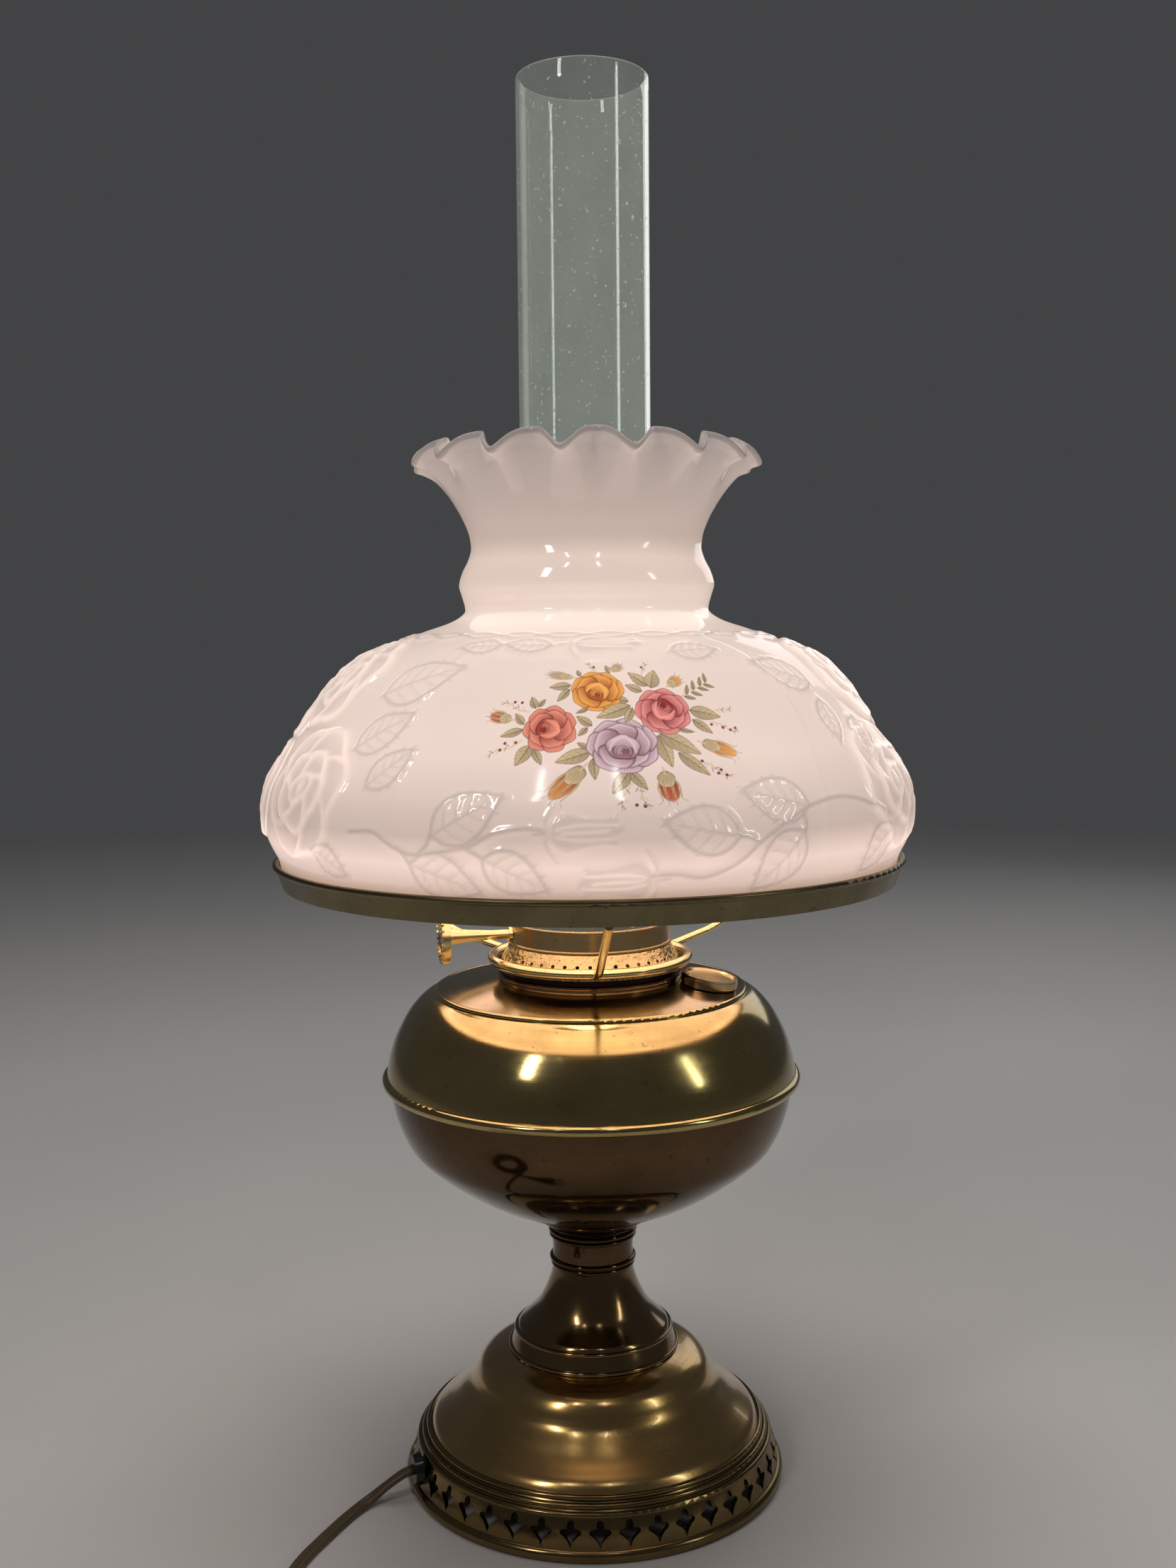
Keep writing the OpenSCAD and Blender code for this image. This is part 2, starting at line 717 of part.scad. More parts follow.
module cord_coil() {
  color(cord_gold) translate([coil_centre[0], coil_centre[1], 0])
    tube(coil_outer_r + cord_w / 2, coil_inner_r - cord_w / 2, coil_base_z, coil_top_z);
}

module cord_tie() {
  inner = coil_inner_r - cord_w / 2;
  outer = coil_outer_r + cord_w / 2;
  color("#222222") translate([coil_centre[0], coil_centre[1], 0]) rotate([0, 0, 200]) difference() {
    translate([inner - tie_t, -tie_w / 2, coil_base_z - tie_t])
      cube([outer - inner + 2 * tie_t, tie_w, coil_top_z - coil_base_z + 2 * tie_t]);
    tube(outer + 0.04, inner - 0.04, coil_base_z, coil_top_z);
  }
}

// Places a child on the plug's axis, which runs along +X from the end of the tail
module at_plug() {
  translate(plug_at) rotate([0, 0, plug_turn]) children();
}

module strain_relief() {
  color("#4a3b26") at_plug() difference() {
    bar_x(3.4, 5, -1, relief_len - 1);
    translate([-2, -cord_w / 2, -cord_t / 2]) cube([3, cord_w, cord_t]);
  }
}

module plug_body() {
  color("#4a3b26") at_plug() translate([relief_len - 1, 0, 0]) hull() {
    rotate([0, 90, 0]) linear_extrude(1)
      scale([0.7, 1]) circle(d = plug_w * 0.7, $fn = 32);
    for (s = [-1, 1]) translate([plug_len - 6, s * (plug_w - plug_h) / 2, 0])
      rotate([0, 90, 0]) cylinder(d = plug_h, h = 6, $fn = 32);
  }
}

module plug_blades() {
  color(steel_grey) at_plug() for (s = [-1, 1])
    translate([relief_len - 1 + plug_len, s * blade_gap / 2 - 0.75, -3.2]) cube([blade_len, 1.5, 6.4]);
}

foot_gallery();
base_bell();
stem_trumpet();
stem_sleeve();
font_bowl();
font_dome();
font_deck();
draft_tube();
filler_neck();
filler_gasket();
filler_cap();
burner_collar();
burner_skirt();
chimney_gallery();
pipe_cover();
spindle_bush();
winder_spindle();
winder_knob();
holder_wire_ring();
holder_arms();
shade_ring();
shade();
chimney();
lamp_pipe();
pipe_nuts();
base_washer();
lock_washer();
socket_cap();
socket_body();
socket_shell();
socket_liner();
screw_shell();
centre_contact();
bulb_cap();
bulb_insulator();
bulb_contact();
bulb_glass();
bulb_filament();
cord_bushing();
inner_lead();
cord_lead();
cord_coil();
cord_tail();
cord_tie();
strain_relief();
plug_body();
plug_blades();
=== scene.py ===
"""Looks of the electrified oil lamp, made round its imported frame. Shapes are worked out in millimetres."""

import json
import math
from functools import partial

import bpy
import numpy as np
from mathutils import Matrix, Vector


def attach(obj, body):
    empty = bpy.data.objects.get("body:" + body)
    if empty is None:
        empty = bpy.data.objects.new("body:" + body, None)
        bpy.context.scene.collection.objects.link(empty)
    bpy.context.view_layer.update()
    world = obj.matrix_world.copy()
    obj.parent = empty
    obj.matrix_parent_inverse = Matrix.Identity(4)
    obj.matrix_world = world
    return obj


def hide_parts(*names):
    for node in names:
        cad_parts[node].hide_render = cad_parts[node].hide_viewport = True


MM = 0.001

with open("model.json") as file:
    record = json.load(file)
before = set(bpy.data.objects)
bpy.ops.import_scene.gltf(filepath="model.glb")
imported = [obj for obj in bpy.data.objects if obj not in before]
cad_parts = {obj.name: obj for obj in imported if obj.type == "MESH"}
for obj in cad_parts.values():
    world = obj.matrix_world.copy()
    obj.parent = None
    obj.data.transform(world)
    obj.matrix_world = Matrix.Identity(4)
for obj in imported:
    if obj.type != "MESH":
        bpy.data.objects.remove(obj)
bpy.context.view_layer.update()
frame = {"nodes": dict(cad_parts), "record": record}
scene = bpy.context.scene


# ---- Camera and light ----

BACKGROUND = (0.055, 0.056, 0.058, 1)
CAMERA_PLACE = (-0.0002, -0.6765, 0.3535)
CAMERA_LENS = 37.15
CAMERA_TILT, CAMERA_ROLL = -4.888, -0.538
FLOOR_RADIUS = 4000
# Metres from the lamp where the floor starts to fade into the background, has faded, and has no gloss
FADE_START, FADE_END, GLOSS_END = 0.8, 2.6, 2.4


def add_camera():
    """A camera level with the shade and in front of the lamp, looking slightly down."""
    data = bpy.data.cameras.new("camera")
    data.sensor_width = 36
    data.lens = CAMERA_LENS
    data.clip_start, data.clip_end = 0.01, 50
    camera = bpy.data.objects.new("camera", data)
    camera.matrix_world = (
        Matrix.Translation(CAMERA_PLACE)
        @ Matrix.Rotation(math.radians(90 + CAMERA_TILT), 4, "X")
        @ Matrix.Rotation(math.radians(CAMERA_ROLL), 4, "Z")
    )
    scene.collection.objects.link(camera)
    scene.camera = camera


def add_area(name, place, aim, size, power, colour=(1, 1, 1)):
    """A rectangular soft light at place, facing aim."""
    data = bpy.data.lights.new(name, "AREA")
    data.shape = "RECTANGLE"
    data.size, data.size_y = size
    data.energy, data.color = power, colour
    lamp = bpy.data.objects.new(name, data)
    lamp.location = place
    lamp.rotation_euler = (Vector(aim) - Vector(place)).to_track_quat("-Z", "Y").to_euler()
    scene.collection.objects.link(lamp)
    return lamp


def add_studio():
    """Soft light from above, behind and both sides, two thin tubes, a dim world and a pale floor."""
    scene.view_settings.view_transform = "Standard"
    top = add_area("top", (0, 0.2, 2.3), (0, 0, 0), (1.4, 1.2), 17, (1, 0.98, 0.95))
    top.visible_glossy = False
    add_area("key", (-0.9, -1.1, 1.3), (0, 0, 0.25), (0.16, 0.5), 3.2, (1, 0.97, 0.93))
    add_area("fill", (1.3, -0.7, 0.9), (0, 0, 0.3), (0.1, 0.6), 1.4, (0.95, 1, 0.93))
    add_area("back", (0.9, 1.6, 0.9), (0, 0, 0.3), (0.9, 0.9), 2)
    for x in (-0.5, 0.3):
        add_area("tube", (x, -1.2, 1.9), (0, 0, 0.2), (0.06, 0.4), 0.8)
    world = bpy.data.worlds.new("studio")
    world.use_nodes = True
    sky = world.node_tree.nodes["Background"]
    sky.inputs["Color"].default_value = BACKGROUND
    sky.inputs["Strength"].default_value = 1
    scene.world = world
    floor = new_piece("floor", *disc(FLOOR_RADIUS, 96), floor_material())


# ---- Meshes ----


def new_piece(name, points, faces, material):
    """A smooth mesh object from points in millimetres."""
    mesh = bpy.data.meshes.new(name)
    mesh.from_pydata(np.asarray(points, float) * MM, [], faces, shade_flat=False)
    mesh.update()
    piece = bpy.data.objects.new(name, mesh)
    scene.collection.objects.link(piece)
    mesh.materials.append(material)
    return piece


def disc(radius, count):
    """A flat round floor, as its middle and a rim."""
    angles = np.linspace(0, 2 * math.pi, count, endpoint=False)
    rim = np.stack([radius * np.cos(angles), radius * np.sin(angles), 0 * angles], 1)
    faces = [(0, 1 + i, 1 + (i + 1) % count) for i in range(count)]
    return np.vstack([[[0, 0, 0]], rim]), faces


def grid_faces(rows, columns, wrap_columns=True, wrap_rows=False):
    """Quads over a grid of points, rows by columns."""
    i = np.arange(rows if wrap_rows else rows - 1)
    j = np.arange(columns if wrap_columns else columns - 1)
    i, j = (a.ravel() for a in np.meshgrid(i, j, indexing="ij"))
    below, above = i % rows, (i + 1) % rows
    right = (j + 1) % columns
    return np.stack([below * columns + j, below * columns + right,
                     above * columns + right, above * columns + j], 1)


def between(p0, p1, p2, p3, t):
    """A point a fraction t of the way from p1 to p2, on a smooth curve through all four."""
    return 0.5 * (2 * p1 + (p2 - p0) * t + (2 * p0 - 5 * p1 + 4 * p2 - p3) * t * t
                  + (3 * p1 - p0 - 3 * p2 + p3) * t ** 3)


def curve(points, steps):
    """A smooth curve through the points, with steps between neighbours."""
    p = [np.asarray(q, float) for q in points]
    last = len(p) - 1
    made = [between(p[max(i - 1, 0)], p[i], p[i + 1], p[min(i + 2, last)], k / steps)
            for i in range(last) for k in range(steps)]
    return np.array(made + [p[last]])


def unit(x):
    """The value, kept between 0 and 1."""
    return np.clip(x, 0, 1)


def run_length(points):
    """Distance along a line of points, from its first."""
    return np.concatenate([[0], np.cumsum(np.linalg.norm(np.diff(points, axis=0), axis=1))])


def resample(points, gap):
    """The same line with evenly spaced points about gap apart."""
    s = run_length(points)
    at = np.linspace(0, s[-1], max(2, round(s[-1] / gap) + 1))
    return np.stack([np.interp(at, s, points[:, k]) for k in range(points.shape[1])], 1)


def left_normals(profile):
    """Unit normals to the left of a profile of points (r, z)."""
    d = np.gradient(profile, axis=0)
    d /= np.linalg.norm(d, axis=1)[:, None]
    return np.stack([-d[:, 1], d[:, 0]], 1)


def around(r, z, a):
    """Points at radius r, height z and direction a, over a grid of them."""
    return np.stack(np.broadcast_arrays(r * np.cos(a), r * np.sin(a), z), 2).reshape(-1, 3)


def set_values(piece, name, values):
    """A number for each vertex, which materials read by name."""
    layer = piece.data.attributes.new(name, "FLOAT", "POINT")
    layer.data.foreach_set("value", np.asarray(values, np.float32).ravel())


def set_colours(piece, name, colours):
    """A colour for each vertex, which materials read by name."""
    layer = piece.data.attributes.new(name, "FLOAT_COLOR", "POINT")
    layer.data.foreach_set("color", np.asarray(colours, np.float32).ravel())


# ---- Materials ----


class Finish:
    """A material with one Principled shader, and short calls to add nodes in front of it."""

    def __init__(self, name, **sockets):
        self.material = bpy.data.materials.new(name)
        self.material.use_nodes = True
        self.tree = self.material.node_tree
        self.shader = self.tree.nodes["Principled BSDF"]
        for socket, value in sockets.items():
            self.shader.inputs[socket.replace("_", " ")].default_value = value

    def node(self, kind, inputs=None, **settings):
        node = self.tree.nodes.new("ShaderNode" + kind)
        for key, value in settings.items():
            setattr(node, key, value)
        for key, value in (inputs or {}).items():
            if hasattr(value, "is_output"):
                self.tree.links.new(value, node.inputs[key])
            else:
                node.inputs[key].default_value = value
        return node

    def math(self, operation, a, b=0.0):
        return self.node("Math", {0: a, 1: b}, operation=operation).outputs[0]

    def vector(self, operation, a, b=(0, 0, 0)):
        return self.node("VectorMath", {0: a, 1: b}, operation=operation).outputs["Vector"]

    def length(self, a):
        return self.node("VectorMath", {0: a}, operation="LENGTH").outputs["Value"]

    def noise(self, vector, scale, detail=3.0, roughness=0.5, **inputs):
        inputs = {"Vector": vector, "Scale": scale, "Detail": detail, "Roughness": roughness, **inputs}
        kind = "4D" if "W" in inputs else "3D"
        return self.node("TexNoise", inputs, noise_dimensions=kind).outputs["Fac"]

    def ramp(self, value, low, high, to_low=0.0, to_high=1.0):
        inputs = {"Value": value, "From Min": low, "From Max": high, "To Min": to_low, "To Max": to_high}
        return self.node("MapRange", inputs).outputs["Result"]

    def mix(self, factor, a, b, blend="MIX"):
        return self.node("Mix", {0: factor, 6: a, 7: b}, data_type="RGBA", blend_type=blend).outputs[2]

    def place(self):
        return self.node("TexCoord").outputs["Object"]

    def attribute(self, name, output="Fac"):
        return self.node("Attribute", attribute_name=name).outputs[output]

    def bump(self, height, distance, strength=1.0, normal=None):
        inputs = {"Height": height, "Distance": distance, "Strength": strength}
        if normal:
            inputs["Normal"] = normal
        return self.node("Bump", inputs).outputs["Normal"]

    def drive(self, **sockets):
        for socket, value in sockets.items():
            self.tree.links.new(value, self.shader.inputs[socket.replace("_", " ")])
        return self.material


def rings_round_axis(finish, fineness):
    """A noise that is drawn out round the lamp's axis, as spinning and polishing leave it."""
    xyz = finish.node("SeparateXYZ", {0: finish.place()}).outputs
    flat = finish.node("CombineXYZ", {0: xyz[0], 1: xyz[1]}).outputs[0]
    way = finish.vector("MULTIPLY", finish.vector("NORMALIZE", flat), (1.6, 1.6, 0))
    lifted = finish.node("CombineXYZ", {2: finish.math("MULTIPLY", xyz[2], fineness)}).outputs[0]
    across = finish.math("MULTIPLY", finish.length(flat), fineness)
    return finish.noise(finish.vector("ADD", way, lifted), 1.0, 4.0, 0.6, W=across)


def dimmed(colour, part):
    """A darker, or brighter, shade of a colour."""
    return tuple(c * part for c in colour) + (1,)


def aged_brass(name, light, dark, rough=(0.07, 0.17), brushing=0.00002, blotch=24.0, tarnish=0.5,
               crinkle=0.0, coat=0.0, dark_above=None):
    """Aged brass: blotches, rings of brushing, specks, and crinkles, lacquer or a blackened top if any."""
    f = Finish(name, Metallic=1.0, Coat_Weight=coat, Coat_Roughness=0.04)
    place = f.place()
    rings = rings_round_axis(f, 1500.0)
    cloud = f.noise(place, blotch, 5.0, 0.62)
    specks = f.ramp(f.noise(place, 420.0, 2.0, 0.5), 0.66, 0.76)
    stain = f.math("MULTIPLY", f.ramp(cloud, 0.36, 0.68), tarnish)
    colour = f.mix(stain, (*light, 1), (*dark, 1))
    colour = f.mix(f.ramp(rings, 0.3, 0.7, 0.0, 0.16), colour, (*dark, 1))
    colour = f.mix(f.math("MULTIPLY", specks, 0.5), colour, dimmed(dark, 0.35))
    if dark_above:
        height = f.node("SeparateXYZ", {0: place}).outputs[2]
        colour = f.mix(f.ramp(height, dark_above, dark_above + 0.0003), colour, (0.035, 0.016, 0.013, 1))
    shine = f.math("ADD", f.ramp(cloud, 0.3, 0.7, rough[0], rough[1]), f.ramp(rings, 0.3, 0.75, -0.02, 0.04))
    normal = f.bump(rings, brushing, 0.25)
    if crinkle:
        normal = f.bump(f.noise(place, 210.0, 3.0, 0.7), crinkle, 0.8, normal)
    return f.drive(Base_Color=colour, Roughness=shine, Normal=normal)


def plain_metal(name, colour, rough):
    """Plated or drawn metal with faint streaks."""
    f = Finish(name, Metallic=1.0)
    streaks = f.noise(f.place(), 300.0, 3.0)
    shade = f.mix(f.ramp(streaks, 0.35, 0.7, 0.0, 0.4), (*colour, 1), dimmed(colour, 0.7))
    return f.drive(Base_Color=shade, Roughness=f.ramp(streaks, 0.3, 0.7, rough * 0.8, rough * 1.4))


def moulded(name, colour, rough, grain=900.0):
    """Moulded plastic, rubber or board with a fine grain."""
    f = Finish(name)
    grains = f.noise(f.place(), grain, 3.0)
    shade = f.mix(grains, (*colour, 1), dimmed(colour, 0.72))
    return f.drive(Base_Color=shade, Roughness=f.ramp(grains, 0.3, 0.7, rough * 0.85, rough * 1.2),
                   Normal=f.bump(grains, 0.00005, 0.4))


def floor_material():
    """A pale, slightly uneven studio floor that melts into the background far from the lamp."""
    f = Finish("floor_paint", Emission_Strength=1.0)
    place = f.place()
    cloud = f.noise(place, 3.0, 4.0)
    reach = f.length(place)
    fade = f.ramp(reach, FADE_START, FADE_END)
    shade = f.mix(cloud, (0.62, 0.61, 0.60, 1), (0.67, 0.66, 0.65, 1))
    return f.drive(Base_Color=f.mix(fade, shade, (0, 0, 0, 1)), Roughness=f.ramp(cloud, 0.3, 0.7, 0.5, 0.6),
                   Emission_Color=f.mix(fade, (0, 0, 0, 1), BACKGROUND),
                   Specular_IOR_Level=f.ramp(reach, FADE_START, GLOSS_END, 0.4, 0.0))


def clear_glass(name, tint, glow_haze):
    """Old clear glass with a faint tint, seeds, soft waves and a layer of dust. The dust is painted light:
    it glows faintly of its own, standing in for the light it catches, and brighter at the seeds as painted
    glints.
    """
    f = Finish(name, Transmission_Weight=1.0, IOR=1.48, Emission_Strength=1.0)
    place = f.place()
    seeds = f.ramp(f.noise(place, 500.0, 1.0), 0.72, 0.78)
    waves = f.noise(place, 26.0, 2.0)
    colour = f.mix(seeds, (*tint, 1), (0.75, 0.78, 0.74, 1))
    normal = f.bump(waves, 0.0006, 0.08, f.bump(seeds, 0.0002, 0.3))
    dust = f.noise(place, 45.0, 5.0, 0.7)
    # Painted light: the dust's faint glow, with painted glints at the seeds
    dust_glow = f.mix(f.ramp(dust, 0.3, 0.75), dimmed(glow_haze, 0.7), (*glow_haze, 1))
    dust_glow = f.mix(seeds, dust_glow, dimmed(glow_haze, 4))
    return f.drive(Base_Color=colour, Emission_Color=dust_glow, Normal=normal,
                   Roughness=f.ramp(seeds, 0.0, 1.0, 0.0, 0.2))


def milk_glass():
    """Glossy opal glass that glows as if lit from inside: the glow is painted light that the glass emits,
    and it and the paint come from the mesh.
    """
    f = Finish("milk_glass", Specular_IOR_Level=0.6, Coat_Weight=0.25, Coat_Roughness=0.04,
               Emission_Strength=1.0)
    place = f.place()
    cloud = f.noise(place, 30.0, 4.0)
    body = f.mix(cloud, (0.60, 0.515, 0.48, 1), (0.56, 0.475, 0.445, 1))
    painted, cover = f.attribute("paint", "Color"), f.attribute("paint", "Alpha")
    tint = f.attribute("tint", "Color")
    colour = f.mix(cover, body, f.mix(1.0, painted, (0.72, 0.66, 0.62, 1), "MULTIPLY"))
    # Painted light: the glass emits the mesh's glow in the colour of the light through it, tinted where
    # there is paint
    lit = f.mix(cover, tint, f.mix(1.0, painted, tint, "MULTIPLY"))
    glow = f.math("MULTIPLY", f.attribute("glow"), f.ramp(cloud, 0.3, 0.7, 0.97, 1.03))
    light = f.mix(1.0, lit, f.node("CombineColor", {0: glow, 1: glow, 2: glow}).outputs[0], "MULTIPLY")
    ripple = f.bump(f.noise(place, 60.0, 2.0), 0.0003, 0.25)
    scratches = f.bump(f.noise(place, 700.0, 2.0), 0.00001, 0.3, ripple)
    return f.drive(Base_Color=colour, Emission_Color=light, Normal=scratches,
                   Roughness=f.ramp(cloud, 0.3, 0.7, 0.07, 0.13))


def bulb_envelope():
    """The lit bulb: frosted glass that glows warm."""
    f = Finish("bulb_envelope", Roughness=0.4, Emission_Strength=9.0)
    cloud = f.noise(f.place(), 60.0)
    return f.drive(Base_Color=f.mix(cloud, (0.9, 0.85, 0.75, 1), (0.85, 0.8, 0.7, 1)),
                   Emission_Color=f.mix(cloud, (1, 0.72, 0.42, 1), (1, 0.78, 0.5, 1)))


# ---- Cord ----

CORD_W, CORD_T, CORD_GAP = 5.3, 2.7, 2.2
# The route that was chosen for the part's cord; its coil lies between these two
LEAD = [
    (-75.8, -29.1, 12.2), (-79.6, -30.5, 11.2), (-84, -31.6, 8.6), (-88, -32.4, 5.8), (-91.6, -34, 3.4),
    (-95.4, -37.4, 1.9), (-99, -43, 1.45), (-102.5, -50, 1.4), (-106, -58, 1.4),
    (-109.4, -66, 1.4), (-112.6, -74, 1.4), (-115, -82, 1.4), (-116.6, -91, 1.4),
    (-117.2, -100, 1.4), (-117.2, -112, 1.4), (-117, -124, 1.6), (-116.9, -133, 1.9)]
TAIL = [
    (-146, -118.6, 10.9), (-138, -118.9, 11.3), (-130, -119.8, 11.2), (-122, -121.2, 9.8),
    (-114, -123, 7.8), (-106, -125, 6.4), (-99, -126.8, 6)]
COIL_CENTRE = (-155, -147)
COIL_OUTER, COIL_INNER = 38.2, 22.0
# Points in a turn of the coil, and how many of them it takes to climb on to the layer below
COIL_STEPS, STEP_UP = 24, 4
# Each layer's first and last radius, turns and height
COIL_LAYERS = [
    (COIL_OUTER, COIL_INNER, 3, 2.05),
    (COIL_INNER, COIL_OUTER, 3, 5.05),
    (COIL_OUTER, 28.75, 1.75, 8.05)]


def coil_route():
    """The coil's turns, clockwise: in along the table, out on top of that, and in again."""
    points, turned_by = [], 0.0
    height = COIL_LAYERS[0][3]
    for start, end, turns, z in COIL_LAYERS:
        count = round(turns * COIL_STEPS)
        for i in range(count):
            t = i / count
            angle = -2 * math.pi * (turned_by + turns * t)
            r = start + (end - start) * t
            rise = min(1.0, i / STEP_UP)
            points.append((COIL_CENTRE[0] + r * math.cos(angle), COIL_CENTRE[1] + r * math.sin(angle),
                           height + (z - height) * rise))
        turned_by += turns
        height = z
    return points


def twin_section():
    """Outline of a flat twin cord: two round strands and the web that joins them."""
    strand = CORD_T / 2
    middle = CORD_W / 2 - strand
    round_it = np.radians(np.arange(-120, 121, 30))
    right = [(middle + strand * math.cos(a), strand * math.sin(a)) for a in round_it]
    web = [(0, strand * 0.55), (0, -strand * 0.55)]
    left = [(-x, -y) for x, y in right]
    return np.array(right + web[:1] + left + web[1:])


def add_cord(material):
    """The flat twin cord: the lead over the table, its coil and the tail to the plug."""
    route = resample(curve(LEAD + coil_route() + TAIL, 6), CORD_GAP)
    along = np.gradient(route, axis=0)
    along /= np.linalg.norm(along, axis=1)[:, None]
    side = np.stack([-along[:, 1], along[:, 0], 0 * along[:, 0]], 1)
    side /= np.linalg.norm(side, axis=1)[:, None]
    over = np.cross(along, side)
    section = twin_section()
    points = (route[:, None] + side[:, None] * section[None, :, 0:1] + over[:, None] * section[None, :, 1:2])
    m, rings = len(section), len(route)
    faces = grid_faces(rings, m).tolist()
    faces += [list(range(m))[::-1], [(rings - 1) * m + j for j in range(m)]]
    piece = new_piece("cord", points.reshape(-1, 3), faces, material)
    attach(piece, "lamp")
    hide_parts("cord_lead", "cord_coil", "cord_tail")


# ---- Shade ----

SHADE_WALL = 3.0
BODY_FOOT_Z = 264.0
# Outlines as (radius, height); the crown has one at its dips and another at its crests
SHADE_BODY = [
    (125.8, 259.4), (127.3, 264), (128.2, 268.4), (130.3, 273.5), (131.8, 279), (132.2, 285), (131.6, 292),
    (129.9, 299), (126, 306), (121, 314), (115.6, 321.8), (109.9, 329.7), (104.4, 337), (98, 343.8),
    (90.6, 349.6), (80.6, 354.8), (67.7, 359.6), (56.6, 363.4), (51, 367)]
SHADE_NECK = [
    (50.6, 370), (51.8, 374.4), (52.8, 378.6), (51.4, 383.8), (49, 388.6), (47.7, 392.8), (47.8, 396)]
DIP = [(48.6, 400), (51.2, 406), (54.8, 411.6), (59.2, 417.2), (63.4, 421.6), (68, 424.6), (71.4, 425.7)]
CREST = [(48.6, 400), (51, 406), (53.9, 411.8), (56.9, 417.8), (59.6, 423.8), (61.8, 430), (62.8, 434.4)]
CRIMPS, CRIMP_DIR = 16, -86.2
PANEL_DIRS = (-85.5, 94.5)
# How fine the mesh is: columns round it, millimetres between its rows outside and inside, and crown rows
SHADE_COLUMNS, SHADE_GAP, INNER_GAP = 900, 0.8, 4.0
CROWN_STEPS, INNER_CROWN_STEPS, LIP_ROWS = 5, 3, 5
# The moulding ends this far up the glass, and stands out this far at most
MOULDING_TOP, MOULDING_MOST = 138, 3.7
# Place up the glass, swing to each side and number of waves of the twisted vines
BAND_S, BAND_SWING, BAND_WAVES = 118.5, 2.6, 14
# The lip's thickness as a part of the wall's, and how much less it glows
LIP_PART, LIP_LOSS = 0.92, 0.5
# How much more the inside glows, up to this height
INNER_GAIN, INNER_TOP = 1.1, 400
# Heights with how brightly the glass glows there, as painted light from the bulb inside, and with the colour
# of the light through it
GLOWS = [
    (259, 0.24), (264, 0.29), (270, 0.58), (278, 0.76), (288, 0.46), (300, 0.52), (315, 0.63), (345, 0.61),
    (358, 0.58), (365, 0.76), (370, 0.58), (378, 0.57), (388, 0.60), (396, 0.40), (410, 0.30), (425, 0.26),
    (440, 0.16)]
TINTS = [
    (259, 1, 0.60, 0.38), (264, 1, 0.66, 0.48), (272, 0.98, 0.73, 0.62), (300, 1, 0.77, 0.67),
    (355, 1, 0.79, 0.69), (366, 1, 0.83, 0.72), (380, 1, 0.78, 0.67), (400, 1, 0.78, 0.67),
    (430, 0.95, 0.80, 0.73), (440, 0.9, 0.84, 0.82)]


def segment_gap(u, v, a, b):
    """Distance of each place from the straight line between a and b."""
    d = b - a
    t = unit(((u - a[0]) * d[0] + (v - a[1]) * d[1]) / max(d @ d, 1e-9))
    return np.hypot(u - a[0] - t * d[0], v - a[1] - t * d[1])


def smooth_stroke(field, u, v, points, width, height):
    """Raises a rounded ridge along a curve through points. u, v are places on the surface in millimetres."""
    line = curve(points, 5) if len(points) > 2 else np.asarray(points, float)
    widths = np.interp(np.linspace(0, 1, len(line)), np.linspace(0, 1, np.size(width)), np.atleast_1d(width))
    reach = widths.max() * 2.2
    near = ((u > line[:, 0].min() - reach) & (u < line[:, 0].max() + reach)
            & (v > line[:, 1].min() - reach) & (v < line[:, 1].max() + reach))
    if not near.any():
        return
    p, q = u[near], v[near]
    best = np.zeros(p.shape)
    for a, b, w in zip(line[:-1], line[1:], widths):
        gap = segment_gap(p, q, a, b) / w
        best = np.maximum(best, np.exp(-(gap ** 2) * 1.6))
    field[near] = np.maximum(field[near], best * height)


def inside(u, v, outline):
    """How far inside a closed outline each place is, in millimetres, and negative outside."""
    p = np.asarray(outline, float)
    odd = np.zeros(u.shape, bool)
    gap = np.full(u.shape, 1e9)
    for a, b in zip(p, np.roll(p, -1, axis=0)):
        crosses = ((a[1] > v) != (b[1] > v))
        with np.errstate(divide="ignore", invalid="ignore"):
            at = (b[0] - a[0]) * (v - a[1]) / (b[1] - a[1]) + a[0]
        odd ^= crosses & (u < at)
        gap = np.minimum(gap, segment_gap(u, v, a, b))
    return np.where(odd, gap, -gap)


def lay_out(base, tip, shape):
    """Points given along and across a figure, placed between its base and its tip."""
    base, tip = np.asarray(base, float), np.asarray(tip, float)
    d = tip - base
    side = np.array([-d[1], d[0]])
    return [tuple(base + d * x + side * y) for x, y in shape]


LEAF = [(0, 0), (0.14, 0.19), (0.34, 0.29), (0.58, 0.27), (0.8, 0.15), (1, 0)]


def relief_leaf(fields, u, v, tip):
    """A moulded leaf from the origin to its tip: toothed outline, midrib, side veins and a low swell."""
    lines, body, _ = fields
    placed = partial(lay_out, (0, 0), tip)
    size = math.hypot(*tip)
    ahead, middle = np.array(tip) / size, np.array(tip) / 2
    for flip in (1, -1):
        edge = placed([(x, flip * y) for x, y in LEAF])
        smooth_stroke(lines, u, v, edge, 1.3, 1.0)
        rim = curve(edge, 3)
        for k in range(2, len(rim) - 1, 2):
            out = (rim[k] - middle) / size
            smooth_stroke(lines, u, v, [rim[k], rim[k] + out * 3.4 + ahead], (0.8, 0.35), 0.9)
        for x in (0.18, 0.36, 0.54, 0.72):
            reach = np.interp(x + 0.14, [q[0] for q in LEAF], [q[1] for q in LEAF]) * 0.86
            vein = placed([(x, 0), (x + 0.08, flip * reach * 0.55), (x + 0.16, flip * reach)])
            smooth_stroke(lines, u, v, vein, (0.9, 0.6), 0.75)
    smooth_stroke(lines, u, v, placed([(-0.05, 0), (0.5, 0.01), (0.96, 0)]), (1.2, 0.7), 0.85)
    outline = placed(LEAF + [(x, -y) for x, y in LEAF[-2:0:-1]])
    depth = inside(u, v, curve(outline + outline[:1], 2))
    body += unit(depth / 3.0) * 0.25


